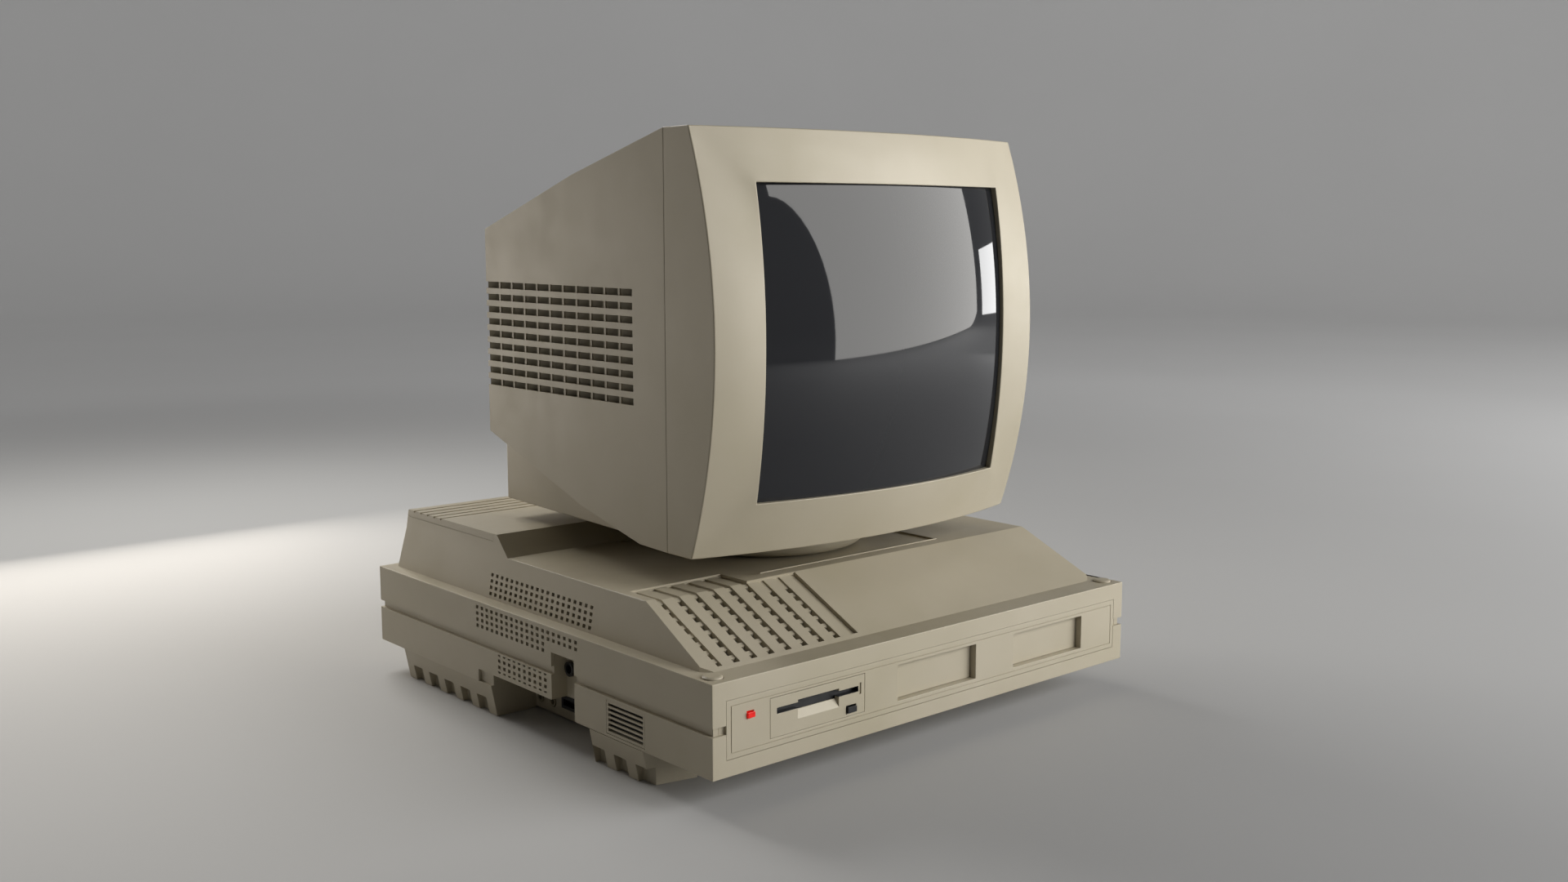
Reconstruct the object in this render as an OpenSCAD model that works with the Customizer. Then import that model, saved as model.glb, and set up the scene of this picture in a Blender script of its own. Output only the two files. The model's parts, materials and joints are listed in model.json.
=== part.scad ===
/* [Case] */
// Width of the computer case across its side walls
case_w = 505; // [440:1:620]
// Depth of the computer case from front wall to rear wall
case_d = 536; // [470:1:650]
// Height of the two straight shells together, feet not counted
band_h = 75.5; // [72:0.5:95]
// Height of the front deck above the underside of the case
deck_h = 116; // [112:1:150]
// Height of the raised rear deck above the underside of the case
rear_h = 134.5; // [128:0.5:170]
// Height of the feet
foot_h = 30; // [26:0.5:40]
// Wall thickness of every moulded shell
wall = 3; // [2.4:0.1:3.6]
// Height of the groove that runs between the two shells
groove_h = 7; // [4:0.5:9]
// Distance that the lamp and the eject button stand out of the front face
front_out = 2; // [1:0.5:3]

/* [Front panel] */
// Height of the inset front panel
panel_h = 47; // [42:0.5:48]
// Width of one drive bezel, a standard 3.5 inch drive
drive_w = 101.6; // [90:0.1:110]
// Height of one drive bezel
drive_h = 32; // [28:0.1:33]
// Length of the disk drive behind its bezel
drive_l = 146; // [120:1:152]
// Depth of the recess of an unused drive bay
bay_depth = 6.5; // [4:0.5:9]
// Width of the disk slot
slot_w = 88; // [75:0.5:89]
// Height of the disk slot at its ends
slot_h = 4.8; // [4.2:0.1:6]
// Width of the power lamp
lamp_w = 7; // [5:0.5:9]

/* [Deck vents] */
// Number of long slots on the slope
vent_count = 9; // [5:1:10]
// Distance from one long slot to the next
vent_pitch = 18; // [15:0.5:19]
// Width of one long slot
vent_w = 6.4; // [4:0.2:8]
// Distance between the cross ribs inside a long slot
rib_pitch = 11; // [9:0.5:14]

/* [Power supply] */
// Width of the power supply
psu_w = 150; // [130:1:160]
// Length of the power supply
psu_l = 150; // [120:1:160]
// Outer size of the square fan frame
fan_size = 56; // [48:1:58]
// Number of fan blades
fan_blades = 7; // [5:1:9]

/* [Monitor] */
// Width of the monitor
mon_w = 383; // [340:1:440]
// Height of the monitor from its lower edge to its top edge at the front
mon_h = 348; // [310:1:400]
// Depth of the monitor from the foremost point of its bezel to its back
mon_d = 375.8; // [350:1:430]
// Height of the monitor's lower edge above the front deck
mon_lift = 29; // [27:0.5:36]
// Width of the screen opening
screen_w = 288; // [250:1:296]
// Height of the screen opening
screen_h = 260; // [220:1:266]
// Depth of the rim round the glass
screen_rim = 6; // [4:0.5:9]

/* [Tilt and swivel base] */
// Radius of the round swivel dish
dish_r = 95; // [86:1:100]
// Height of the swivel dish above its plate
dish_h = 12.5; // [10:0.5:13]
// Radius of the spindle that the dish turns on
spindle_r = 20; // [14:1:26]
// Radius of the ball face that the monitor tilts on
ball_r = 140; // [132:1:150]
// How far the monitor tilts with its screen looking down, degrees
tilt_down = 8; // [2:1:8]
// How far the monitor tilts with its screen looking up, degrees
tilt_up = 4.5; // [2:0.5:5]

/* [Fits] */
// Gap between pieces that move past each other
run_gap = 0.4; // [0.3:0.05:0.6]
// Gap round a piece that sits still in an opening
seat_gap = 0.3; // [0.2:0.05:0.5]
// Radial gap of a shaft in its bore
shaft_gap = 0.08; // [0.04:0.01:0.1]
// How far a cut runs past the face it goes through
over = 1; // [0.5:0.5:2]

/* [Hidden] */
$fn = 64;

// Colours
putty = "#b5ad97";
putty_dark = "#a39a82";
black_abs = "#1c1c1d";
steel = "#b9bcbe";
board_green = "#2f5b3a";
glass_grey = "#3a3c3e";

// Case frame: X centred, Y from the front wall to the rear, Z from the underside of the shells
case_hw = case_w / 2;
half_gap_h = band_h * 0.45;
groove_z = half_gap_h;
split_z = groove_z + groove_h;
rim_t = wall * 5 / 6;
rim_z = groove_z - wall * 2;
ledge_h = wall * 5 / 6;

// Deep tub in the lower shell
tub_hw = case_hw - case_w * 0.094;
tub_y = [case_d * 0.148, case_d * 0.912];
tub_z = -(foot_h - wall / 2);
tub_floor_z = tub_z + wall;

// Raised part of the left underside, where the side sockets are reached
step_y = [case_d * 0.3468, case_d * 0.6425];
step_z = band_h * 0.15;
pocket_y = [case_d * 0.3468, case_d * 0.4123];
pocket_x = case_w * 0.0315;
pocket_top = band_h * 0.71;

// Upper body
front_in = case_d * 0.0463;
slope_y = case_d * 0.2045;
stair_y = [case_d * 0.597, case_d * 0.636];
cover_y = case_d * 0.646;
rear_y = [case_d * 0.9525, case_d * 0.974];
side_in = [case_w * 0.0271, case_w * 0.0392, case_w * 0.0412];
cover_h = wall * 7 / 3;
slope_angle = atan2(deck_h - band_h, slope_y - front_in);
slope_len = norm([deck_h - band_h, slope_y - front_in]);

// Front panel
panel_hw = case_w * 0.4737;
panel_z = [band_h * 0.178, band_h * 0.178 + panel_h];
panel_mid_z = (panel_z[0] + panel_z[1]) / 2;
flange = wall * 5 / 3;
flange_t = wall * 2 / 3;
line_w = wall / 4;
border = wall * 3 / 2;
sleeve_t = wall / 2;
drive_x = -case_w * 0.286;
bay_x = [-case_w * 0.0123, case_w * 0.2798];
bay_w = drive_w * 0.955;
bay_h = drive_h * 0.97;
lamp_x = -case_w * 0.4265;
lamp_z = panel_mid_z + panel_h * 0.17;
lamp_h = lamp_w * 0.86;
shelf_t = wall / 2;
shelf_z = panel_mid_z - drive_h / 2 - shelf_t * 2;
shelf_y = [case_d * 0.024, case_d * 0.29];
bezel_t = wall * 5 / 3;
finger_w = slot_w * 0.5;
finger_h = slot_h * 1.85;
button_w = drive_w * 0.103;
button_h = drive_h * 0.19;
button_x = drive_w * 0.352;
button_z = -drive_h * 0.33;
button_travel = wall * 4 / 3;
slot_z = drive_h * 0.15;
body_h = drive_h * 0.9;
flap_t = wall / 2;
flap_z = slot_z + finger_h / 2 + run_gap + flap_t / 2;
flap_y = bezel_t + run_gap + flap_t / 2;
flap_end = wall * 4 / 3;

// Side grilles
hole_w = case_w * 0.0083;
hole_h = hole_w * 0.76;
hole_pitch_y = case_d * 0.0158;
hole_pitch_z = hole_h * 1.8;
louvre_y = [case_d * 0.161, case_d * 0.2595];
louvre_z = [wall, groove_z - wall];
slat_count = 5;
cone_r = (louvre_z[1] - louvre_z[0]) * 0.57;
cone_y = (louvre_y[0] + louvre_y[1]) / 2;
cone_z = wall + cone_r * 1.3;
baffle_top = groove_z - wall / 2;

// Power supply and rear wall
rear_open_x = case_w * 0.44;
rear_open_z = [wall * 2, band_h - wall * 2.6];
rear_t = wall / 2;
rear_in_y = case_d - wall;
plate_z = wall;
plate_t = wall / 2;
psu_x = [tub_hw - psu_w, tub_hw];
psu_z = [plate_z + plate_t, band_h - wall * 2.4];
psu_y = [rear_in_y - rear_t - psu_l, rear_in_y - rear_t];
psu_t = wall * 0.4;
fan_x = psu_x[0] + fan_size * 0.62;
fan_z = (psu_z[0] + psu_z[1]) / 2;
fan_d = fan_size * 0.42;
fan_bore = fan_size * 0.46;
blade_angle = 40;
hub_r = fan_size * 0.2;
rocker_x = psu_x[0] + psu_w * 0.6;
rocker_w = psu_w * 0.1;
rocker_h = rocker_w * 1.35;
inlet_x = psu_x[0] + psu_w * 0.82;
inlet_w = psu_w * 0.18;
inlet_h = inlet_w * 0.78;

// Connectors of the rear wall
d_x = [-case_w * 0.34, -case_w * 0.2, -case_w * 0.06];
d_w = case_w * 0.075;
d_h = wall * 3.6;
d_nose = [d_w * 0.36, d_h * 0.36];
board_t = wall * 0.55;
port_board_z = plate_z + plate_t + wall;
port_board_y = [psu_y[0] + psu_l * 0.5, rear_in_y - rear_t - seat_gap];
d_z = port_board_z + board_t + d_h * 0.75;
fan_y = rear_in_y - rear_t - fan_d;
rocker_out = [rocker_w / 2 + run_gap + wall * 0.6, rocker_h / 2 + run_gap + wall * 0.6];
rocker_y = rear_in_y - wall / 2;
rocker_angle = 8;

// Monitor: the same frame
mon_hw = mon_w / 2;
mon_z = [deck_h + mon_lift, deck_h + mon_lift + mon_h];
mon_mid_z = (mon_z[0] + mon_z[1]) / 2;
mon_y = case_d * 0.0748;
back_y = mon_y + mon_d;
seam_y = mon_y + mon_d * 0.2515;
seam_half = wall * 0.14;
curve_x = mon_w * 1.605;
curve_z = mon_h * 1.402;
axis_y = mon_y + curve_x;
bezel_wall = wall * 7 / 6;
glass_t = wall * 11 / 3;
skirt_t = wall * 1.5;
tube_hw = screen_w / 2 + wall * 3;
tube_hh = screen_h / 2 + wall * 3;
tube_mid_z = mon_z[0] + mon_h * 0.5;
skirt_y = mon_y + mon_d * 0.22;
funnel_y = mon_y + mon_d * 0.56;
neck_r = mon_w * 0.038;
neck_y = mon_y + mon_d * 0.77;
funnel_r = norm([tube_hw, tube_hh]);
glass_back = screen_rim + seat_gap;
// Depth of the curved front of the monitor at x from its middle and z from its mid height
function front_y(x, z) =
    axis_y - sqrt(pow(curve_x - curve_z + sqrt(curve_z * curve_z - z * z), 2) - x * x);
ear_x = tube_hw + wall * 4;
ear_z = tube_hh + wall * 4;
ear_y = front_y(ear_x + wall * 2, ear_z + wall * 2) + bezel_wall + wall * 8 / 9;
pin_r = wall * 0.6;
head_r = pin_r * 2.2;
head_t = wall / 2;
screw_l = wall * 3;

housing_pts = [
    [seam_y + seam_half, mon_z[0]], [mon_y + mon_d * 0.357, mon_z[0] + mon_h * 0.004],
    [mon_y + mon_d * 0.589, mon_z[0] + mon_h * 0.0635],
    [back_y, mon_z[0] + mon_h * 0.2145], [back_y, mon_z[0] + mon_h * 0.767],
    [mon_y + mon_d * 0.607, mon_z[0] + mon_h * 0.901], [seam_y + seam_half, mon_z[1]]
];
belly_hw = mon_hw * 0.908;
belly_pts = [
    [mon_y + mon_d * 0.357, mon_z[0] + mon_h * 0.004], [back_y, mon_z[0] + mon_h * 0.0213],
    [back_y, mon_z[0] + mon_h * 0.3], [mon_y + mon_d * 0.357, mon_z[0] + mon_h * 0.3]
];
side_vent_y = mon_y + mon_d * 0.373;
side_vent_z = mon_z[0] + mon_h * 0.3434;
side_vent_pitch = mon_h * 0.033;
side_vent_h = side_vent_pitch * 0.53;
side_vent_rows = 9;
side_rib_count = 11;
side_rib_pitch = (back_y - side_vent_y) / side_rib_count;

// Tilt and swivel
pivot_y = mon_y + mon_d * 0.511;
pad_t = wall / 2;
pad_x = [-case_w * 0.2255, case_w * 0.2425];
pad_y = [case_d * 0.2308, case_d * 0.5895];
dish_z = deck_h + run_gap;
ball_z = dish_z + wall * 1.6 + ball_r;
socket_r = ball_r + run_gap;
keeper_r = wall * 1.7;
keeper_head = wall * 4.6;
slit_l = ball_r * sin(max(tilt_down, tilt_up)) + keeper_r + wall;
collar_drop = ball_z - mon_z[0] + wall;
collar_r = sqrt(ball_r * ball_r - collar_drop * collar_drop);
flange_z = mon_z[0] + wall * 4.4;
flange_r = collar_r + wall * 6;
seat_r = sqrt(socket_r * socket_r - pow(ball_z - dish_z - dish_h, 2)) + wall;
clip_z = deck_h - wall * 3 - run_gap;
clip_t = wall * 0.8;
low_board_hw = mon_w * 0.39;
low_board_y = [mon_y + mon_d * 0.4, back_y - wall * 6.25];
low_board_z = flange_z + wall * 3;
stem_r = wall;
knob_r = mon_w * 0.024;
knob_z = mon_z[0] + mon_h * 0.28;
knob_x = [mon_w * 0.2, mon_w * 0.3];
sock_x = [-mon_w * 0.1, mon_w * 0.12];
sock_z = mon_z[0] + mon_h * 0.1;
joy_r = wall * 2.17;

// A box between two corner points
module span(a, b) {
    translate(a) cube(b - a);
}

// Puts case coordinates into the part's own frame, centred under its bounding box
module in_case() {
    translate([0, -(case_d - front_out) / 2, foot_h]) children();
}

// A cylinder along Y from y to y + h
module rod_y(x, y, z, r, h) {
    translate([x, y, z]) rotate([-90, 0, 0]) cylinder(r = r, h = h);
}

// A cylinder along X from x to x + h
module rod_x(x, y, z, r, h) {
    translate([x, y, z]) rotate([0, 90, 0]) cylinder(r = r, h = h);
}

// A profile given as (Y, Z) points, drawn across X from -hw to hw
module across(pts, hw) {
    translate([-hw, 0, 0]) rotate([90, 0, 90]) linear_extrude(2 * hw) polygon(pts);
}

// Unit normal on the left of the edge a to b
function left_of(a, b) = [a[1] - b[1], b[0] - a[0]] / norm(b - a);

// The outline moved inwards by g, for points listed anticlockwise
function inset(pts, g) = [
    for (i = [0:len(pts) - 1])
        let (
            before = pts[(i + len(pts) - 1) % len(pts)],
            here = pts[i],
            after = pts[(i + 1) % len(pts)],
            n1 = left_of(before, here),
            n2 = left_of(here, after)
        )
        here + g * (n1 + n2) / (1 + n1 * n2)
];

// Shells of the case

// Outline of the upper body in (Y, Z), from the ledge upwards
function body_pts() = [
    [front_in, band_h], [rear_y[1], band_h], [rear_y[0], rear_h],
    [stair_y[1], rear_h], [stair_y[0], deck_h], [slope_y, deck_h]
];

// Outline of the upper body in (X, Z)
function flank_pts() = [
    [-case_hw + side_in[0], band_h], [case_hw - side_in[0], band_h],
    [case_hw - side_in[1], deck_h], [case_hw - side_in[2], rear_h],
    [-case_hw + side_in[2], rear_h], [-case_hw + side_in[1], deck_h]
];

// The upper body as a solid, moved inwards by g
module body_solid(g) {
    intersection() {
        across(inset(body_pts(), g), case_hw);
        translate([0, case_d, 0]) rotate([90, 0, 0]) linear_extrude(case_d) polygon(inset(flank_pts(), g));
    }
}

// A block of square vent holes through a wall that faces X
module hole_grid(y0, z0, cols, rows, share) {
    for (c = [0:cols - 1])
        for (r = [0:rows - 1])
            translate([0, y0 + c * hole_pitch_y, z0 + r * hole_pitch_z])
                cube([side_in[0] * 2, hole_w, hole_h * share]);
}

// The opening that the front panel fills in both shells
module panel_opening(gap) {
    span([-panel_hw - gap, -over, panel_z[0] - gap], [panel_hw + gap, wall + over, panel_z[1] + gap]);
    span([-panel_hw - flange - seat_gap, wall, panel_z[0] - flange - seat_gap],
         [panel_hw + flange + seat_gap, wall + rim_t + over, panel_z[1] + flange + seat_gap]);
}

// The opening of the rear wall, with room behind it for the metal panel
module rear_opening() {
    span([-rear_open_x, rear_in_y - over, rear_open_z[0]], [rear_open_x, case_d + over, rear_open_z[1]]);
    span([-rear_open_x - wall - seat_gap, rear_in_y - rim_t - over, rear_open_z[0] - wall / 2],
         [rear_open_x + wall + seat_gap, rear_in_y, split_z + ledge_h + over]);
}

// Screw posts of the two shells
post_x = case_hw - wall * 3.5;
post_y = [case_d * 0.058, case_d * 0.3275, case_d * 0.937];
post_r = wall * 2;
boss_r = wall * 1.5;

module at_posts() {
    for (sx = [-1, 1])
        for (y = post_y)
            translate([sx * post_x, y, 0]) children();
}

shelf_post_x = [-case_w * 0.42, -case_w * 0.06, case_w * 0.42];
shelf_post_y = [shelf_y[0] + wall * 5, shelf_y[1] - wall * 4];
board_x = [-tub_hw + wall + seat_gap, tub_hw - wall * 3];
board_y = [case_d * 0.32, case_d * 0.88];
board_z = tub_floor_z + wall / 2;
board_post_x = [board_x[0] + wall * 5, 0, board_x[1] - wall * 5];
board_post_y = [board_y[0] + wall * 5, board_y[1] - wall * 5];
jack_r = wall * 1.5;
jack_y = [step_y[0] + (step_y[1] - step_y[0]) * 0.68, step_y[0] + (step_y[1] - step_y[0]) * 0.81];
jack_z = board_z + board_t + jack_r;
port_y = [step_y[0] + (step_y[1] - step_y[0]) * 0.37, step_y[0] + (step_y[1] - step_y[0]) * 0.585];
port_z = [board_z + board_t + wall, board_z + board_t + wall * 5];
joy_y = pocket_y[1] - joy_r - wall / 4;
joy_z = (groove_z + split_z) / 2;

// Points of the screws that hold the drive shelf, at the underside of the shelf
module at_shelf_screws() {
    for (x = shelf_post_x)
        for (y = shelf_post_y)
            translate([x, y, shelf_z]) children();
}

// Points of the screws that hold the main board, at the underside of the board
module at_board_screws() {
    for (x = board_post_x)
        for (y = board_post_y)
            translate([x, y, board_z]) mirror([0, 0, 1]) children();
}

module lower_shell() {
    color(putty) in_case() difference() {
        union() {
            lower_walls();
            for (x = shelf_post_x)
                for (y = shelf_post_y)
                    translate([x, y, abs(x) > tub_hw || y < tub_y[0] ? 0 : tub_z])
                        cylinder(r = boss_r, h = shelf_z - (abs(x) > tub_hw || y < tub_y[0] ? 0 : tub_z));
        }
        at_shelf_screws() mirror([0, 0, 1]) cylinder(r = pin_r + shaft_gap, h = screw_l);
        at_board_screws() translate([0, 0, -over]) cylinder(r = pin_r + shaft_gap, h = wall * 1.2 + over);
    }
}

module lower_walls() {
    difference() {
        union() {
            difference() {
                span([-case_hw, 0, 0], [case_hw, case_d, groove_z]);
                span([-case_hw + wall, wall, wall], [case_hw - wall, case_d - wall, groove_z + over]);
            }
            span([-tub_hw, tub_y[0], tub_z], [tub_hw, tub_y[1], wall]);
            // Wall round the raised part of the left underside
            span([-case_hw, step_y[0] - wall, 0], [-tub_hw + wall, step_y[1] + wall, step_z + wall]);
            // Rim that stands up behind the groove
            difference() {
                span([-case_hw + wall, wall, rim_z], [case_hw - wall, case_d - wall, split_z]);
                span([-case_hw + wall + rim_t, wall + rim_t, rim_z - over],
                     [case_hw - wall - rim_t, case_d - wall - rim_t, split_z + over]);
            }
            // Pocket of the keyboard jack
            span([-case_hw, pocket_y[0] - wall, 0],
                 [-case_hw + pocket_x + wall, pocket_y[1] + wall, groove_z]);
            span([-case_hw + wall + seat_gap, pocket_y[0] - wall, 0],
                 [-case_hw + pocket_x + wall, pocket_y[1] + wall, pocket_top + wall]);
            at_posts() cylinder(r = post_r, h = split_z);
        }
        // Inside of the tub
        difference() {
            span([-tub_hw + wall, tub_y[0] + wall, tub_floor_z], [tub_hw - wall, tub_y[1] - wall, step_z]);
            at_board_screws() cylinder(r = boss_r, h = foot_h);
        }
        // Underside of the raised part
        span([-case_hw - over, step_y[0], -over], [-tub_hw, step_y[1], step_z]);
        span([-case_hw - over, pocket_y[0], -over], [-case_hw + pocket_x, pocket_y[1], pocket_top]);
        panel_opening(0);
        rear_opening();
        louvre_opening();
        // Lower side grille: four rows, the outer two half as high
        grille_y = step_y[0] + (step_y[1] - step_y[0]) * 0.27;
        grille_z = step_z + wall * 1.3;
        translate([-case_hw - over, 0, 0]) {
            hole_grid(grille_y, grille_z, 10, 1, 0.5);
            hole_grid(grille_y, grille_z + hole_pitch_z * 0.72, 10, 2, 1);
            hole_grid(grille_y, grille_z + hole_pitch_z * 2.72, 10, 1, 0.5);
        }
        // Side sockets through the tub wall
        for (y = jack_y)
            rod_x(-tub_hw - over, y, jack_z, jack_r + seat_gap, wall + over * 2);
        span([-tub_hw - over, port_y[0] - seat_gap, port_z[0] - seat_gap],
             [-tub_hw + wall + over, port_y[1] + seat_gap, port_z[1] + seat_gap]);
        rod_x(-case_hw + pocket_x - over, joy_y, joy_z, joy_r * 0.8, wall + over * 2);
        // Screw holes
        translate([0, 0, -over]) at_posts() cylinder(r = pin_r + shaft_gap, h = split_z + over * 2);
        translate([0, 0, -over]) at_posts() cylinder(r = head_r + seat_gap, h = wall * 2 + over);
    }
}

// Opening of the speaker louvre, with room behind it for the baffle
module louvre_opening() {
    span([-case_hw - over, louvre_y[0] - seat_gap, louvre_z[0] - seat_gap],
         [-case_hw + wall + over, louvre_y[1] + seat_gap, louvre_z[1] + seat_gap]);
    span([-case_hw + wall, louvre_y[0] - wall * 2, wall],
         [-case_hw + wall + rim_t + over, louvre_y[1] + wall * 2, baffle_top + seat_gap]);
}

// One long vent: a shallow channel with holes through its floor between cross ribs
module long_vent(vent_l) {
    span([0, 0, -wall / 2], [vent_w, vent_l, wall]);
    for (s = [0:rib_pitch:vent_l - rib_pitch])
        span([0, s, -wall * 4], [vent_w, s + rib_pitch * 0.6, 0]);
}

vent_x = -case_hw + case_w * 0.0575;
vent_right = vent_x + vent_pitch * (vent_count - 1) + vent_w;
vent_deck_right = vent_x + vent_pitch * 5 + vent_w;
vent_deck_l = case_d * 0.0655;
vent_sink = wall * 0.55;
vent_from = slope_len * 0.06;
vent_floor = wall * 2.2;
grid_y = case_d * 0.337;

module upper_shell() {
    color(putty) in_case() difference() {
        union() {
            span([-case_hw, 0, split_z], [case_hw, case_d, band_h]);
            body_solid(0);
        }
        difference() {
            span([-case_hw + wall, wall, split_z - over], [case_hw - wall, case_d - wall, band_h - wall]);
            // Ledge that rests on the rim of the lower shell
            difference() {
                span([-case_hw, 0, split_z], [case_hw, case_d, split_z + ledge_h]);
                span([-case_hw + wall + rim_t, wall + rim_t, split_z - over],
                     [case_hw - wall - rim_t, case_d - wall - rim_t, split_z + ledge_h + over]);
            }
            translate([0, 0, split_z]) at_posts() cylinder(r = post_r, h = band_h - split_z);
        }
        // Inside of the upper body
        difference() {
            union() {
                body_solid(wall);
                span([-case_hw + side_in[0] + wall * 1.3, front_in + wall * 4.5, band_h - wall - over],
                     [case_hw - side_in[0] - wall * 1.3, rear_y[1] - wall * 1.3, band_h + wall + over]);
            }
            translate([0, 0, split_z]) at_posts() cylinder(r = post_r, h = band_h - split_z);
            // Cross web and ledge under the front edge of the rear cover
            span([-case_hw, stair_y[1] + wall, rear_h - cover_h - wall],
                 [case_hw, cover_y + wall * 2, rear_h - cover_h]);
            span([-case_hw, stair_y[1] + wall, rear_h - cover_h - wall],
                 [case_hw, cover_y - seat_gap, rear_h]);
            // Thick floor of the vent recess, on the slope and on the deck
            translate([0, front_in, band_h]) rotate([slope_angle, 0, 0])
                span([vent_x - wall, 0, -vent_floor], [vent_right + wall, slope_len, 0]);
            span([vent_x - wall, slope_y - wall, deck_h - vent_floor],
                 [vent_deck_right + wall, slope_y + vent_deck_l + wall, deck_h - wall]);
            // Thick floor of the swivel recess
            span([pad_x[0] - wall, pad_y[0] - wall, deck_h - pad_t - wall],
                 [pad_x[1] + wall, pad_y[1] + wall, deck_h]);
        }
        // Seat of the rear cover
        span([-case_hw, cover_y, rear_h - cover_h], [case_hw, case_d, rear_h + over]);
        panel_opening(0);
        rear_opening();
        span([-case_hw - over, pocket_y[0], split_z - over],
             [-case_hw + wall + over, pocket_y[1], pocket_top]);
        span([-case_hw + wall, pocket_y[0] - wall - seat_gap, split_z - over],
             [-case_hw + pocket_x + wall + seat_gap, pocket_y[1] + wall + seat_gap,
                 pocket_top + wall + seat_gap]);
        // Grille on the sloped side, and grille in the band below it
        translate([-case_hw + side_in[0] - wall, 0, 0])
            hole_grid(grid_y, band_h + hole_pitch_z * 0.5, 20, 4, 1);
        translate([-case_hw - over, 0, 0]) {
            hole_grid(grid_y, band_h - wall * 2.4, 20, 1, 1);
            hole_grid(grid_y, band_h - wall * 2.4 - hole_pitch_z, 20, 1, 1);
            hole_grid(grid_y + hole_pitch_y * 6, band_h - wall * 2.4 - hole_pitch_z * 3, 14, 2, 1);
        }
        // Shallow vent recess on the slope, and its vents; the last one has no holes
        translate([0, front_in, band_h]) rotate([slope_angle, 0, 0]) {
            span([vent_x, vent_from - wall * 0.2, -vent_sink], [vent_right, slope_len - wall * 0.2, over]);
            span([vent_x, slope_len / 2, -vent_sink], [vent_deck_right, slope_len + wall, over]);
            for (i = [0:vent_count - 2])
                translate([vent_x + i * vent_pitch, vent_from, -vent_sink])
                    long_vent(slope_len - vent_from + (i < 6 ? wall : -wall * 0.4));
            translate([vent_right - vent_w, vent_from, -vent_sink])
                span([0, 0, -wall / 2], [vent_w, slope_len - vent_from - wall * 0.4, wall]);
        }
        // The recess and the first six channels run on over the deck
        span([vent_x, slope_y - wall, deck_h - vent_sink],
             [vent_deck_right, slope_y + vent_deck_l, deck_h + over]);
        for (i = [0:5])
            translate([vent_x + i * vent_pitch, slope_y - wall, deck_h - vent_sink])
                span([0, 0, -wall / 2], [vent_w, wall / 2 + vent_deck_l, wall]);
        // Swivel recess and the bore of the swivel spindle
        span([pad_x[0], pad_y[0], deck_h - pad_t], [pad_x[1], pad_y[1], deck_h + over]);
        translate([0, pivot_y, deck_h - wall * 3]) cylinder(r = spindle_r + wall, h = wall * 4);
        // Front corners cut away beside the corner caps
        for (sx = [-1, 1])
            translate([sx * (case_hw - side_in[0]), front_in, band_h]) rotate([0, 0, 45])
                translate([-wall * 2, -wall * 2, 0]) cube([wall * 4, wall * 4, wall * 3]);
        // Bores of the case screws and seats of the corner caps
        translate([0, 0, split_z - over]) at_posts()
            cylinder(r = pin_r + shaft_gap, h = band_h - split_z - wall);
        at_caps() translate([0, 0, -wall / 2]) cylinder(r = cap_r, h = wall);
    }
}

cap_r = case_w * 0.0168;
module at_caps() {
    for (sx = [-1, 1])
        translate([sx * (case_hw - case_w * 0.0245), case_d * 0.0285, band_h]) children();
}

module corner_caps() {
    color(putty) in_case() at_caps()
        translate([0, 0, -wall / 2]) rotate_extrude() polygon([
            [0, 0], [cap_r - seat_gap, 0], [cap_r - seat_gap, wall * 0.8], [cap_r - wall * 0.6, wall * 1.1],
            [0, wall * 1.1]
        ]);
}

module rear_cover() {
    color(putty) in_case() difference() {
        intersection() {
            body_solid(0);
            span([-case_hw, cover_y, rear_h - cover_h], [case_hw, case_d, rear_h]);
        }
        intersection() {
            body_solid(wall);
            span([-case_hw, cover_y + wall, deck_h], [case_hw, case_d, rear_h]);
        }
        for (i = [0:4])
            translate([-case_hw, rear_y[0] - case_d * (0.028 + 0.0245 * i), rear_h - wall / 2])
                cube([case_w, wall, wall]);
    }
}

// Front panel and what is in it

// Outline box of a bay in the panel, grown by gap
module bay_box(x, w, h, gap, y0, y1) {
    span([x - w / 2 - gap, y0, panel_mid_z - h / 2 - gap], [x + w / 2 + gap, y1, panel_mid_z + h / 2 + gap]);
}

module front_panel() {
    color(putty) in_case() difference() {
        union() {
            span([-panel_hw + seat_gap, 0, panel_z[0] + seat_gap],
                 [panel_hw - seat_gap, wall, panel_z[1] - seat_gap]);
            span([-panel_hw - flange, wall, panel_z[0] - flange],
                 [panel_hw + flange, wall + flange_t, panel_z[1] + flange]);
            for (x = bay_x)
                bay_box(x, bay_w, bay_h, sleeve_t, 0, bay_depth + sleeve_t);
        }
        for (x = bay_x)
            bay_box(x, bay_w, bay_h, 0, -over, bay_depth + wall * 2);
        bay_box(drive_x, drive_w, drive_h, seat_gap, -over, bay_depth + wall * 2);
        span([lamp_x - lamp_w / 2 - shaft_gap, -over, lamp_z - lamp_h / 2 - shaft_gap],
             [lamp_x + lamp_w / 2 + shaft_gap, wall * 2, lamp_z + lamp_h / 2 + shaft_gap]);
        // Fine line that frames the panel
        difference() {
            span([-panel_hw + border, -over, panel_z[0] + border],
                 [panel_hw - border, line_w, panel_z[1] - border]);
            span([-panel_hw + border + line_w, -over * 2, panel_z[0] + border + line_w],
                 [panel_hw - border - line_w, line_w + over, panel_z[1] - border - line_w]);
        }
    }
}

// Blank that closes an unused bay: a plug in the sleeve and a flange behind it
module bay_blank(x) {
    color(putty) in_case() {
        bay_box(x, bay_w, bay_h, -seat_gap, bay_depth, bay_depth + sleeve_t);
        bay_box(x, bay_w, bay_h, wall, bay_depth + sleeve_t, bay_depth + sleeve_t * 2);
    }
}
module bay_blank_left() { bay_blank(bay_x[0]); }
module bay_blank_right() { bay_blank(bay_x[1]); }

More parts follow.
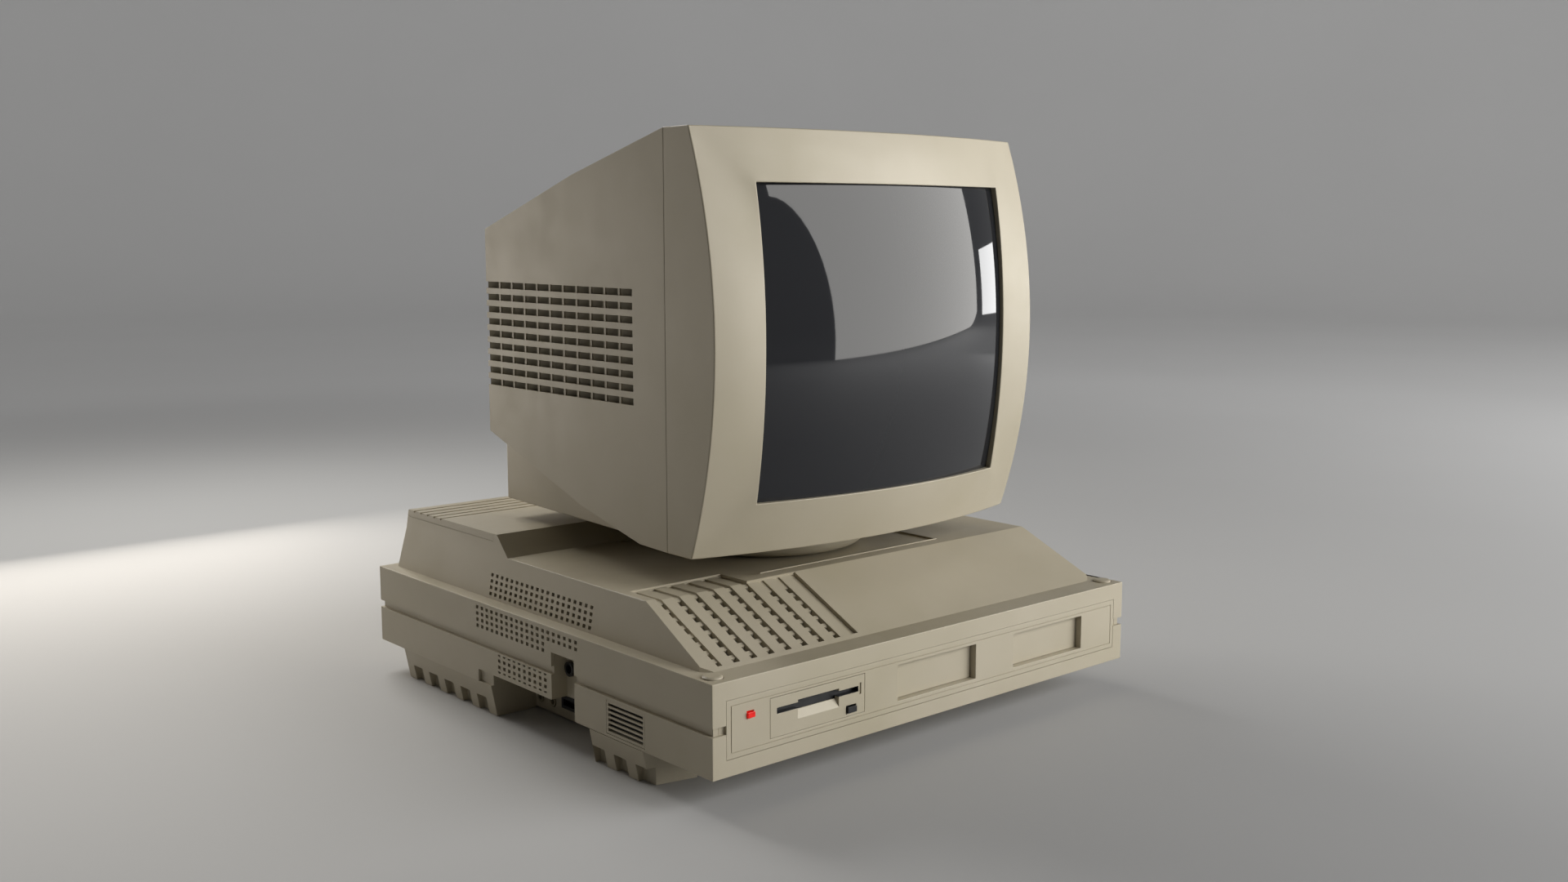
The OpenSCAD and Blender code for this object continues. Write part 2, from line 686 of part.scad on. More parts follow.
// Puts the drive's own frame, centred on its bezel, into the case
module in_drive() {
    in_case() translate([drive_x, 0, panel_mid_z]) children();
}

module floppy_bezel() {
    color(putty) in_drive() difference() {
        span([-drive_w / 2, 0, -drive_h / 2], [drive_w / 2, bezel_t, drive_h / 2]);
        span([-slot_w / 2, -over, slot_z - slot_h / 2], [slot_w / 2, bezel_t + over, slot_z + slot_h / 2]);
        span([-finger_w / 2, -over, slot_z - finger_h / 2],
             [finger_w / 2, bezel_t + over, slot_z + finger_h / 2]);
        // Thumb scoop under the middle of the slot, sloping down to the front face
        translate([-finger_w / 2, 0, slot_z - finger_h / 2]) rotate([90, 0, 90]) linear_extrude(finger_w)
            polygon([
                [-over, -drive_h * 0.22], [0, -drive_h * 0.2], [bezel_t * 0.8, 0],
                [bezel_t * 0.8, over], [-over, over]
            ]);
        // Shallow step at the right end of the slot
        span([slot_w / 2, -over, slot_z - slot_h], [slot_w / 2 + wall, wall / 3, slot_z + slot_h]);
        span([button_x - button_w / 2 - run_gap, -over, button_z - button_h / 2 - run_gap],
             [button_x + button_w / 2 + run_gap, bezel_t + over, button_z + button_h / 2 + run_gap]);
    }
}

module floppy_body() {
    inner = wall / 3;
    color(steel) in_drive() difference() {
        span([-drive_w / 2 + inner, bezel_t, -drive_h / 2],
             [drive_w / 2 - inner, drive_l, -drive_h / 2 + body_h]);
        // Room that the disk goes into, with the flap in front of it
        span([-slot_w / 2 - inner * 2, bezel_t - over, slot_z - finger_h / 2 - inner],
             [slot_w / 2 + inner * 2, drive_l - wall * 3, slot_z + finger_h / 2 + inner]);
        span([-slot_w / 2 - inner * 2, bezel_t - over, -drive_h / 2 + wall],
             [slot_w / 2 - button_w * 1.6, drive_l - wall * 3, slot_z]);
        span([-slot_w / 2 - inner * 2, bezel_t - over, slot_z],
             [slot_w / 2 + inner * 2, bezel_t + finger_h * 2, -drive_h / 2 + body_h + over]);
        rod_x(-slot_w / 2 - flap_end - run_gap, flap_y, flap_z, flap_t / 2 + shaft_gap,
            slot_w + (flap_end + run_gap) * 2);
        // Channel of the eject button
        span([button_x - button_w / 2 - run_gap, bezel_t - over, button_z - button_h / 2 - run_gap],
             [button_x + button_w / 2 + run_gap, drive_l / 3, button_z + button_h / 2 + run_gap]);
    }
}

// Flap that closes the slot from behind: a plate on a round bar above the slot
module floppy_flap() {
    color(black_abs) in_drive() {
        rod_x(-slot_w / 2 - flap_end, flap_y, flap_z, flap_t / 2, slot_w + flap_end * 2);
        span([-slot_w / 2, flap_y - flap_t / 2, slot_z - finger_h / 2 - run_gap / 2],
             [slot_w / 2, flap_y + flap_t / 2, flap_z]);
    }
}

module eject_button() {
    color(black_abs) in_drive() {
        span([button_x - button_w / 2, -front_out, button_z - button_h / 2],
             [button_x + button_w / 2, bezel_t + wall, button_z + button_h / 2]);
        span([button_x - button_w / 6, bezel_t + wall, button_z - button_h / 4],
             [button_x + button_w / 6, drive_l / 3 - button_travel - run_gap * 2, button_z + button_h / 4]);
    }
}

module drive_shelf() {
    color(steel) in_case() difference() {
        union() {
            span([shelf_post_x[0] - wall * 3, shelf_y[0], shelf_z],
                 [shelf_post_x[2] + wall * 3, shelf_y[1], shelf_z + shelf_t]);
            // Rails that the drive stands on
            for (sx = [-1, 1])
                translate([drive_x + sx * drive_w * 0.35 - wall, shelf_y[0], shelf_z + shelf_t])
                    cube([wall * 2, shelf_y[1] - shelf_y[0], shelf_t]);
            for (x = [drive_x - drive_w / 2 - shelf_t, drive_x + drive_w / 2])
                translate([x, shelf_y[0], shelf_z]) cube([shelf_t, shelf_y[1] - shelf_y[0], drive_h * 0.7]);
        }
        at_shelf_screws() translate([0, 0, -over]) cylinder(r = pin_r + shaft_gap, h = shelf_t + over * 2);
    }
}

module power_led() {
    color("#d3201f") in_case() {
        span([lamp_x - lamp_w / 2, -front_out, lamp_z - lamp_h / 2],
             [lamp_x + lamp_w / 2, wall + flange_t, lamp_z + lamp_h / 2]);
        span([lamp_x - lamp_w / 2 - wall / 2, wall + flange_t, lamp_z - lamp_h / 2 - wall / 2],
             [lamp_x + lamp_w / 2 + wall / 2, wall * 2 + flange_t, lamp_z + lamp_h / 2 + wall / 2]);
    }
}

// Feet

notch_w = case_d * 0.0318;
notch_pitch = case_d * 0.0567;
notch_d = wall * 2.6;
foot_in = foot_h / 5;

// One foot on the left side from y[0] to y[1]; lead is how far its inner end runs ahead of the outer
module foot(y, lead, notches, first, rise) {
    outer_x = -case_hw;
    inner_x = -tub_hw;
    difference() {
        union() {
            intersection() {
                translate([0, y[1], 0]) rotate([90, 0, 0]) linear_extrude(y[1] - y[0] + lead + over) polygon([
                    [outer_x, 0], [outer_x + foot_in, -foot_h], [inner_x, -foot_h], [inner_x, 0]
                ]);
                translate([0, 0, -foot_h]) linear_extrude(foot_h) polygon([
                    [outer_x, y[0]], [inner_x, y[0] - lead], [inner_x, y[1]], [outer_x, y[1]]
                ]);
            }
            if (rise > 0)
                span([outer_x + wall, y[0], -wall], [inner_x, step_y[1], rise]);
        }
        for (i = [0:notches - 1])
            translate([outer_x - over, first - notch_w + i * notch_pitch, -foot_h - over])
                cube([foot_in / 2 + notch_d + over, notch_w, foot_h / 2 + over]);
        // Hollow that is open towards the shell
        span([outer_x + foot_in + notch_d + wall, y[0] + wall, -foot_h + wall],
             [inner_x - wall, y[1] - wall, over + rise]);
    }
}

rear_foot_y = [case_d * 0.602, case_d * 0.912];
front_foot_y = [case_d * 0.166, case_d * 0.3071];
foot_lead = case_d * 0.018;

module foot_rear_left() {
    color(putty) in_case() foot(rear_foot_y, 0, 5, case_d * 0.6606, step_z);
}
module foot_rear_right() {
    color(putty) in_case() mirror([1, 0, 0]) foot(rear_foot_y, 0, 5, case_d * 0.6606, 0);
}
module foot_front_left() {
    color(putty) in_case() foot(front_foot_y, foot_lead, 3, case_d * 0.1935, 0);
}
module foot_front_right() {
    color(putty) in_case() mirror([1, 0, 0]) foot(front_foot_y, foot_lead, 3, case_d * 0.1935, 0);
}

// Speaker and side sockets

module speaker_louvre() {
    frame = wall * 0.8;
    pitch = (louvre_z[1] - louvre_z[0] - frame * 2) / (slat_count + 0.5);
    color(putty) in_case() difference() {
        union() {
            difference() {
                span([-case_hw, louvre_y[0], louvre_z[0]], [-case_hw + wall, louvre_y[1], louvre_z[1]]);
                span([-case_hw - over, louvre_y[0] + frame, louvre_z[0] + frame],
                     [-case_hw + wall + over, louvre_y[1] - frame, louvre_z[1] - frame]);
            }
            for (i = [0:slat_count - 1])
                translate([-case_hw, louvre_y[0], louvre_z[0] + frame + pitch * (i + 0.55)])
                    cube([wall, louvre_y[1] - louvre_y[0], pitch * 0.42]);
            // Baffle behind the slats
            span([-case_hw + wall, louvre_y[0] - wall, wall],
                 [-case_hw + wall + rim_t, louvre_y[1] + wall, baffle_top]);
        }
        rod_x(-case_hw + wall, cone_y, cone_z, cone_r, wall * 2);
    }
}

module speaker() {
    color(black_abs) in_case() difference() {
        union() {
            rod_x(-case_hw + wall + rim_t, cone_y, cone_z, cone_r + wall / 2, wall * 1.5);
            rod_x(-case_hw + wall * 3, cone_y, cone_z, cone_r / 2, wall * 4);
        }
        translate([-case_hw + wall + rim_t, cone_y, cone_z]) rotate([0, 90, 0])
            translate([0, 0, -over]) cylinder(r1 = cone_r, r2 = cone_r / 2, h = wall + over);
    }
}

module keyboard_jack() {
    color(black_abs) in_case() difference() {
        union() {
            rod_x(-case_hw + pocket_x - wall, joy_y, joy_z, joy_r, wall);
            rod_x(-case_hw + pocket_x, joy_y, joy_z, joy_r * 0.8 - shaft_gap, wall * 4);
        }
        rod_x(-case_hw + pocket_x - wall - over, joy_y, joy_z, joy_r * 0.6, wall * 2 + over);
    }
}

module audio_jacks() {
    color(black_abs) in_case() for (y = jack_y)
        difference() {
            union() {
                rod_x(-tub_hw - wall / 4, y, jack_z, jack_r, wall * 2);
                span([-tub_hw + wall + seat_gap * 2, y - jack_r, board_z + board_t],
                     [-tub_hw + wall * 4, y + jack_r, board_z + board_t + jack_r * 2]);
            }
            rod_x(-tub_hw - wall, y, jack_z, jack_r * 0.6, wall * 3);
        }
}

module side_port() {
    color(black_abs) in_case() difference() {
        union() {
            span([-tub_hw - wall / 4, port_y[0], port_z[0]], [-tub_hw + wall * 4, port_y[1], port_z[1]]);
            span([-tub_hw + wall * 2, port_y[0], board_z + board_t],
                 [-tub_hw + wall * 4, port_y[1], port_z[1]]);
        }
        span([-tub_hw - wall, port_y[0] + wall, port_z[0] + wall],
             [-tub_hw + wall * 2, port_y[1] - wall, port_z[1] - wall]);
    }
}

// Inside of the case

module motherboard() {
    color(board_green) in_case() difference() {
        span([board_x[0], board_y[0], board_z], [board_x[1], board_y[1], board_z + board_t]);
        at_board_screws() translate([0, 0, -board_t - over])
            cylinder(r = pin_r + shaft_gap, h = board_t + over * 2);
    }
}

chip_x = [0.3, 0.42, 0.54, 0.66, 0.78];
module board_chips() {
    color(black_abs) in_case() translate([0, 0, board_z + board_t]) {
        for (s = chip_x)
            for (t = [0.15, 0.35])
                translate([board_x[0] + (board_x[1] - board_x[0]) * s,
                    board_y[0] + (board_y[1] - board_y[0]) * t, 0])
                    cube([wall * 5, wall * 14, wall * 1.4]);
        translate([board_x[0] + (board_x[1] - board_x[0]) * 0.12,
            board_y[0] + (board_y[1] - board_y[0]) * 0.6, 0])
            cube([wall * 16, wall * 16, wall * 1.4]);
    }
}

module chassis_plate() {
    edge = wall * 4;
    front = psu_y[0] - wall * 3;
    color(steel) in_case() difference() {
        union() {
            span([-tub_hw - edge, front, plate_z], [tub_hw + edge, rear_in_y - rear_t, plate_z + plate_t]);
            at_studs() cylinder(r = boss_r, h = wall);
        }
        // Window over the main board
        span([-tub_hw + edge * 2, front + edge, plate_z - over],
             [psu_x[0] - edge, port_board_y[0] - edge, plate_z + plate_t + over]);
    }
}

// Cut-outs of the metal rear panel
module rear_cut_outs() {
    for (x = d_x)
        span([x - d_nose[0] - seat_gap, rear_in_y - rear_t - over, d_z - d_nose[1] - seat_gap],
             [x + d_nose[0] + seat_gap, rear_in_y + over, d_z + d_nose[1] + seat_gap]);
    // Slits in front of the fan, cut to the round bore
    for (i = [-4:4]) {
        u = i * fan_bore / 5;
        v = sqrt(fan_bore * fan_bore - u * u) * 0.92;
        span([fan_x + u - fan_bore * 0.06, rear_in_y - rear_t - over, fan_z - v],
             [fan_x + u + fan_bore * 0.06, rear_in_y + over, fan_z + v]);
    }
    span([rocker_x - rocker_out[0] - seat_gap, rear_in_y - rear_t - over, fan_z - rocker_out[1] - seat_gap],
         [rocker_x + rocker_out[0] + seat_gap, rear_in_y + over, fan_z + rocker_out[1] + seat_gap]);
    span([inlet_x - inlet_w / 2 - seat_gap, rear_in_y - rear_t - over, fan_z - inlet_h / 2 - seat_gap],
         [inlet_x + inlet_w / 2 + seat_gap, rear_in_y + over, fan_z + inlet_h / 2 + seat_gap]);
}

module rear_panel() {
    color(steel) in_case() difference() {
        span([-rear_open_x - wall, rear_in_y - rear_t, rear_open_z[0] - wall / 2],
             [rear_open_x + wall, rear_in_y, rear_open_z[1] + wall / 2]);
        rear_cut_outs();
    }
}

// Points of the studs that carry the connector board
module at_studs() {
    for (x = [d_x[0] - d_w * 0.4, d_x[2] + d_w * 0.4])
        for (y = [port_board_y[0] + boss_r * 1.5, port_board_y[1] - wall * 6])
            translate([x, y, plate_z + plate_t]) children();
}

module port_board() {
    color(board_green) in_case()
        span([d_x[0] - d_w * 0.7, port_board_y[0], port_board_z],
             [d_x[2] + d_w * 0.7, port_board_y[1], port_board_z + board_t]);
}

// A flat connector with its nose to the rear, its flange plane at y and its middle at x and z
module d_socket(x, y, z, reach) {
    difference() {
        union() {
            span([x - d_w / 2, y - wall * 4, z - d_h * 0.75], [x + d_w / 2, y, z + d_h / 2]);
            span([x - d_nose[0], y, z - d_nose[1]], [x + d_nose[0], y + reach, z + d_nose[1]]);
        }
        span([x - d_nose[0] + wall / 3, y + reach / 3, z - d_nose[1] + wall / 3],
             [x + d_nose[0] - wall / 3, y + reach + over, z + d_nose[1] - wall / 3]);
    }
}

module rear_ports() {
    color(steel) in_case() for (x = d_x) d_socket(x, rear_in_y - rear_t, d_z, rear_t + wall * 2 / 3);
}

// Power supply: an open-backed can against the rear panel, with the fan in it
module psu_case() {
    color(steel) in_case() difference() {
        span([psu_x[0], psu_y[0], psu_z[0]], [psu_x[1], psu_y[1], psu_z[1]]);
        span([psu_x[0] + psu_t, psu_y[0] + psu_t, psu_z[0] + psu_t],
             [psu_x[1] - psu_t, psu_y[1] + over, psu_z[1] - psu_t]);
        for (i = [0:8])
            translate([psu_x[0] + psu_w * (0.14 + 0.085 * i), psu_y[0] - over, psu_z[0] + wall * 3])
                cube([wall, wall * 2, psu_z[1] - psu_z[0] - wall * 6]);
    }
}

module fan_frame() {
    color(black_abs) in_case() difference() {
        span([fan_x - fan_size / 2, fan_y, fan_z - fan_size / 2],
             [fan_x + fan_size / 2, fan_y + fan_d, fan_z + fan_size / 2]);
        difference() {
            rod_y(fan_x, fan_y - over, fan_z, fan_bore, fan_d + over * 2);
            rod_y(fan_x, fan_y, fan_z, hub_r, wall);
            rod_y(fan_x, fan_y, fan_z, pin_r, fan_d - wall);
            for (a = [45, 135])
                translate([fan_x, fan_y, fan_z]) rotate([0, a, 0]) span([-fan_size, 0, -wall / 2],
                    [fan_size, wall * 0.8, wall / 2]);
        }
    }
}

module fan_rotor() {
    blade_w = fan_d * 0.55;
    blade_t = wall * 0.4;
    y = fan_y + wall + run_gap;
    color(black_abs) in_case() difference() {
        union() {
            rod_y(fan_x, y, fan_z, hub_r, fan_d - wall - run_gap * 2);
            for (i = [0:fan_blades - 1])
                translate([fan_x, y + (fan_d - wall) / 2, fan_z]) rotate([0, i * 360 / fan_blades, 0])
                    rotate([blade_angle, 0, 0])
                    span([hub_r * 0.8, -blade_w / 2, -blade_t / 2],
                         [fan_bore - wall / 2, blade_w / 2, blade_t / 2]);
        }
        rod_y(fan_x, y - over, fan_z, pin_r + shaft_gap, fan_d - wall * 2 + over);
    }
}

// Mains inlet: a socket body through the wall that faces the rear, its wall's outer face at y
module inlet(x, y, z) {
    difference() {
        union() {
            span([x - inlet_w / 2, y - wall * 6, z - inlet_h / 2], [x + inlet_w / 2, y, z + inlet_h / 2]);
            span([x - inlet_w / 2 - wall * 0.8, y, z - inlet_h / 2 - wall * 0.8],
                 [x + inlet_w / 2 + wall * 0.8, y + wall / 2, z + inlet_h / 2 + wall * 0.8]);
        }
        span([x - inlet_w / 2 + wall / 2, y - wall * 5, z - inlet_h / 2 + wall / 2],
             [x + inlet_w / 2 - wall / 2, y + wall, z + inlet_h / 2 - wall / 2]);
    }
}

module inlet_pin_set(x, y, z) {
    for (p = [[-0.27, -0.08], [0, 0.12], [0.27, -0.08]])
        translate([x + p[0] * inlet_w - wall / 3, y - wall * 5, z + p[1] * inlet_h - wall * 0.7])
            cube([wall * 2 / 3, wall * 4, wall * 1.4]);
}

module mains_inlet() {
    color(black_abs) in_case() inlet(inlet_x, rear_in_y, fan_z);
}

module inlet_pins() {
    color(steel) in_case() inlet_pin_set(inlet_x, rear_in_y, fan_z);
}

module rocker_frame() {
    color(black_abs) in_case() difference() {
        union() {
            span([rocker_x - rocker_out[0], rear_in_y - wall * 5, fan_z - rocker_out[1]],
                 [rocker_x + rocker_out[0], rear_in_y, fan_z + rocker_out[1]]);
            span([rocker_x - rocker_out[0] - wall * 0.6, rear_in_y, fan_z - rocker_out[1] - wall * 0.6],
                 [rocker_x + rocker_out[0] + wall * 0.6, rear_in_y + wall / 3,
                     fan_z + rocker_out[1] + wall * 0.6]);
        }
        span([rocker_x - rocker_w / 2 - run_gap, rear_in_y - wall * 4.5, fan_z - rocker_h / 2 - run_gap],
             [rocker_x + rocker_w / 2 + run_gap, rear_in_y + wall, fan_z + rocker_h / 2 + run_gap]);
        rod_x(rocker_x - rocker_out[0] + wall * 0.2, rocker_y, fan_z, pin_r + shaft_gap,
            (rocker_out[0] - wall * 0.2) * 2);
    }
}

// Rocker with a shallow V face, shown switched to one side
module power_rocker() {
    crown = wall * 0.8;
    rise = rocker_h / 2 * tan(rocker_angle);
    color(black_abs) in_case() translate([rocker_x, rocker_y, fan_z]) rotate([-rocker_angle, 0, 0]) {
        intersection() {
            rod_x(-rocker_w / 2, 0, 0, rocker_h / 2, rocker_w);
            translate([-rocker_w / 2, 0, 0]) rotate([90, 0, 90]) linear_extrude(rocker_w) polygon([
                [-wall * 1.2, -rocker_h], [crown + rise * 2, -rocker_h], [crown, 0], [crown + rise * 2,
                    rocker_h], [-wall * 1.2, rocker_h]
            ]);
        }
        rod_x(-rocker_w / 2 - wall * 0.4, 0, 0, pin_r, rocker_w + wall * 0.8);
    }
}

// Screws

// A screw with its head on the plane z = 0 and its shank below
module screw(l) {
    translate([0, 0, -l]) cylinder(r = pin_r, h = l);
    cylinder(r = head_r, h = head_t);
}

module case_screws() {
    color(steel) in_case() translate([0, 0, wall * 2]) at_posts() mirror([0, 0, 1]) screw(band_h - wall * 4);
}

module small_screws() {
    color(steel) in_case() {
        at_shelf_screws() translate([0, 0, shelf_t]) screw(screw_l * 0.8);
        at_board_screws() translate([0, 0, -board_t]) mirror([0, 0, 1]) screw(board_t + wall);
    }
}

// Tilt and swivel base

module at_pivot(z) {
    translate([0, pivot_y, z]) children();
}

module swivel_plate() {
    color(steel) in_case() difference() {
        union() {
            at_pivot(deck_h - pad_t) cylinder(r = dish_r * 0.6, h = pad_t);
            at_pivot(deck_h - wall * 3) cylinder(r = spindle_r + wall - shaft_gap, h = wall * 3);
        }
        at_pivot(deck_h - wall * 4) cylinder(r = spindle_r + shaft_gap, h = wall * 5);
    }
}

module swivel_dish() {
    color(putty) in_case() difference() {
        union() {
            at_pivot(dish_z) rotate_extrude() polygon([
                [0, 0], [dish_r * 0.82, 0], [dish_r * 0.905, dish_h * 0.1], [dish_r * 0.958, dish_h * 0.32],
                [dish_r * 0.99, dish_h * 0.6], [dish_r, dish_h * 0.8], [dish_r, dish_h], [dish_r - wall,
                    dish_h],
                [dish_r - wall * 1.4, dish_h * 0.7], [dish_r * 0.88, dish_h * 0.4], [dish_r * 0.82, wall],
                    [0, wall]
            ]);
            at_pivot(dish_z) cylinder(r = seat_r, h = dish_h);
            at_pivot(clip_z - clip_t - wall) cylinder(r = spindle_r, h = dish_z - clip_z + clip_t + wall * 2);
        }
        at_pivot(ball_z) sphere(r = socket_r, $fn = 128);
        // Groove of the clip, and the hollow spindle
        difference() {
            at_pivot(clip_z - clip_t) cylinder(r = spindle_r + over, h = clip_t);
            at_pivot(clip_z - clip_t - over) cylinder(r = spindle_r - wall / 2, h = clip_t + over * 2);
        }
        at_pivot(clip_z - clip_t - wall * 2)
            cylinder(r = spindle_r - wall * 1.7, h = dish_z - clip_z + clip_t + wall * 2);
        at_pivot(dish_z - over) cylinder(r = keeper_r * 0.7 + shaft_gap, h = wall * 3);
    }
}

module swivel_clip() {
    color(steel) in_case() difference() {
        at_pivot(clip_z - clip_t) cylinder(r = spindle_r + wall * 1.5, h = clip_t);
        at_pivot(clip_z - clip_t - over) cylinder(r = spindle_r - wall / 2, h = clip_t + over * 2);
        at_pivot(clip_z - clip_t - over) span([-wall, 0, 0], [wall, spindle_r + wall * 3, clip_t + over * 2]);
    }
}

// Shouldered bolt that holds the bowl of the monitor down on the dish
module tilt_keeper() {
    inner_r = ball_r - wall;
    head_z = ball_z - sqrt(inner_r * inner_r - keeper_head * keeper_head) + run_gap;
    foot_z = ball_z - socket_r + shaft_gap * 2;
    color(steel) in_case() {
        at_pivot(head_z) cylinder(r = keeper_head, h = wall);
        at_pivot(foot_z) cylinder(r = keeper_r, h = head_z - foot_z + wall / 2);
        at_pivot(dish_z - wall * 2) cylinder(r = keeper_r * 0.7, h = foot_z - dish_z + wall * 3);
    }
}

module keeper_nut() {
    color(steel) in_case() difference() {
        at_pivot(dish_z - wall * 1.5) cylinder(r = keeper_r * 1.8, h = wall * 1.5, $fn = 6);
        at_pivot(dish_z - wall * 1.5 - over)
            cylinder(r = keeper_r * 0.7 + shaft_gap, h = wall * 2 + over * 2);
    }
}

// Bowl under the monitor: a piece of a hollow ball with a flange inside the monitor
module tilt_bowl() {
    color(putty) in_case() difference() {
        union() {
            difference() {
                intersection() {
                    at_pivot(ball_z) sphere(r = ball_r, $fn = 128);
                    at_pivot(ball_z - ball_r - over) cylinder(r = ball_r, h = ball_r + over - collar_drop);
                }
                at_pivot(ball_z) sphere(r = ball_r - wall, $fn = 128);
            }
            difference() {
                union() {
                    at_pivot(ball_z - collar_drop - wall / 3)
                        cylinder(r = collar_r, h = flange_z - ball_z + collar_drop + wall);
                    at_pivot(flange_z) cylinder(r = flange_r, h = wall);
                }
                at_pivot(ball_z - collar_drop - wall) cylinder(r = collar_r - wall, h = flange_z);
            }
        }
        at_pivot(ball_z - ball_r - over) span([-keeper_r - run_gap, -slit_l, 0],
            [keeper_r + run_gap, slit_l, wall * 4]);
        at_bowl_screws() translate([0, 0, -over]) cylinder(r = pin_r + shaft_gap, h = wall + over * 2);
    }
}

// Monitor

// Body behind the curved front face of the monitor, moved back by shift
module front_curve(shift) {
    translate([0, axis_y + shift, 0]) rotate_extrude($fn = 128) intersection() {
        translate([curve_x - curve_z, mon_mid_z]) circle(r = curve_z, $fn = 128);
        translate([0, mon_z[0] - over]) square([curve_x, mon_h + over * 2]);
    }
}

// A block centred on the monitor in X and on the tube in Z
module mid_block(hw, hh, y0, y1) {
    span([-hw, y0, tube_mid_z - hh], [hw, y1, tube_mid_z + hh]);
}

module at_ears() {
    for (sx = [-1, 1])
        for (sz = [-1, 1])
            translate([sx * ear_x, ear_y, tube_mid_z + sz * ear_z]) rotate([-90, 0, 0]) children();
}

module at_bowl_screws() {
    for (a = [45:90:315])
        at_pivot(flange_z) rotate([0, 0, a]) translate([collar_r + wall * 4, 0, 0]) children();
}

// Points of the two screws under the front edge, at the underside of the bezel
module at_seam_screws() {
    for (sx = [-1, 1])
        translate([sx * mon_hw * 0.75, seam_y - seam_half - wall * 2, mon_z[0]]) mirror([0, 0, 1]) children();
}

module monitor_bezel() {
    color(putty) in_case() difference() {
        intersection() {
            span([-mon_hw, mon_y - over, mon_z[0]], [mon_hw, seam_y - seam_half, mon_z[1]]);
            front_curve(0);
        }
        difference() {
            intersection() {
                span([-mon_hw + bezel_wall, mon_y, mon_z[0] + bezel_wall],
                     [mon_hw - bezel_wall, seam_y + over, mon_z[1] - bezel_wall]);
                front_curve(bezel_wall);
            }
            // Rim round the screen, back to the glass
            difference() {
                mid_block(screen_w / 2 + wall, screen_h / 2 + wall, mon_y - over, seam_y);
                front_curve(screen_rim);
            }
            at_ears() translate([0, 0, -screw_l * 3]) cylinder(r = boss_r, h = screw_l * 3);
        }
        mid_block(screen_w / 2, screen_h / 2, mon_y - over, seam_y);
        at_ears() translate([0, 0, -screw_l * 0.8]) cylinder(r = pin_r + shaft_gap, h = screw_l);
        at_seam_screws() translate([0, 0, -screw_l]) cylinder(r = pin_r + shaft_gap, h = screw_l + over);
        at_seam_screws() translate([0, 0, -head_t]) cylinder(r = head_r + seat_gap, h = head_t + over);
    }
}

// Side slots of the housing with set-back ribs; they run on round the rear corners
module side_vents() {
    difference() {
        for (sx = [-1, 1])
            for (r = [0:side_vent_rows - 1])
                translate([0, 0, side_vent_z + r * side_vent_pitch]) {
                    translate([sx * mon_hw - wall * 1.5, side_vent_y, 0])
                        cube([wall * 3, back_y - side_vent_y - wall, side_vent_h]);
                    translate([sx * mon_hw - wall * 3, back_y - wall * 1.5, 0])
                        cube([wall * 6, wall * 3, side_vent_h]);
                }
        for (i = [1:side_rib_count - 1])
            span([-mon_hw + wall / 2, side_vent_y + i * side_rib_pitch - wall / 2, side_vent_z - over],
                 [mon_hw - wall / 2, side_vent_y + i * side_rib_pitch + wall / 2,
                     side_vent_z + side_vent_rows * side_vent_pitch]);
    }
}

module monitor_housing() {
    lip = bezel_wall + seat_gap;
    lip_y = seam_y - seam_half - wall * 4;
    color(putty) in_case() difference() {
        union() {
            across(housing_pts, mon_hw);
            across(belly_pts, belly_hw);
            span([-mon_hw + lip, lip_y, mon_z[0] + lip], [mon_hw - lip, seam_y + wall, mon_z[1] - lip]);
        }
        difference() {
            union() {
                across(inset(housing_pts, wall), mon_hw - wall);
                across(inset(belly_pts, wall), belly_hw - wall);
                span([-mon_hw + lip + wall, lip_y - over, mon_z[0] + lip + wall],
                     [mon_hw - lip - wall, seam_y + wall * 3, mon_z[1] - lip - wall]);
            }
            at_bowl_screws() translate([0, 0, -wall * 5]) cylinder(r = boss_r, h = wall * 5);
            at_monitor_posts() translate([0, 0, -wall * 8]) cylinder(r = boss_r, h = wall * 8);
            at_seam_screws() translate([0, 0, -lip - wall * 2]) cylinder(r = boss_r, h = wall * 2);
        }
        side_vents();
        at_pivot(mon_z[0] - over) cylinder(r = collar_r + seat_gap, h = wall * 4);
        at_bowl_screws() translate([0, 0, -screw_l * 0.7]) cylinder(r = pin_r + shaft_gap, h = screw_l);
        at_seam_screws() translate([0, 0, -screw_l - over])
            cylinder(r = pin_r + shaft_gap, h = screw_l + over * 2);
        // Holes of the knobs and the sockets in the rear wall
        for (x = knob_x)
            rod_y(x, back_y - wall - over, knob_z, stem_r + shaft_gap, wall + over * 2);
        span([sock_x[0] - d_nose[0] - seat_gap, back_y - wall - over, sock_z - d_nose[1] - seat_gap],
             [sock_x[0] + d_nose[0] + seat_gap, back_y + over, sock_z + d_nose[1] + seat_gap]);
        span([sock_x[1] - inlet_w / 2 - seat_gap, back_y - wall - over, sock_z - inlet_h / 2 - seat_gap],
             [sock_x[1] + inlet_w / 2 + seat_gap, back_y + over, sock_z + inlet_h / 2 + seat_gap]);
    }
}

// Cone of the tube from the skirt to the neck, its radius grown by g
module funnel_cone(g) {
    translate([0, skirt_y - over, tube_mid_z]) rotate([-90, 0, 0])
        cylinder(r1 = funnel_r + g, r2 = neck_r + g, h = funnel_y - skirt_y + over, $fn = 96);
}

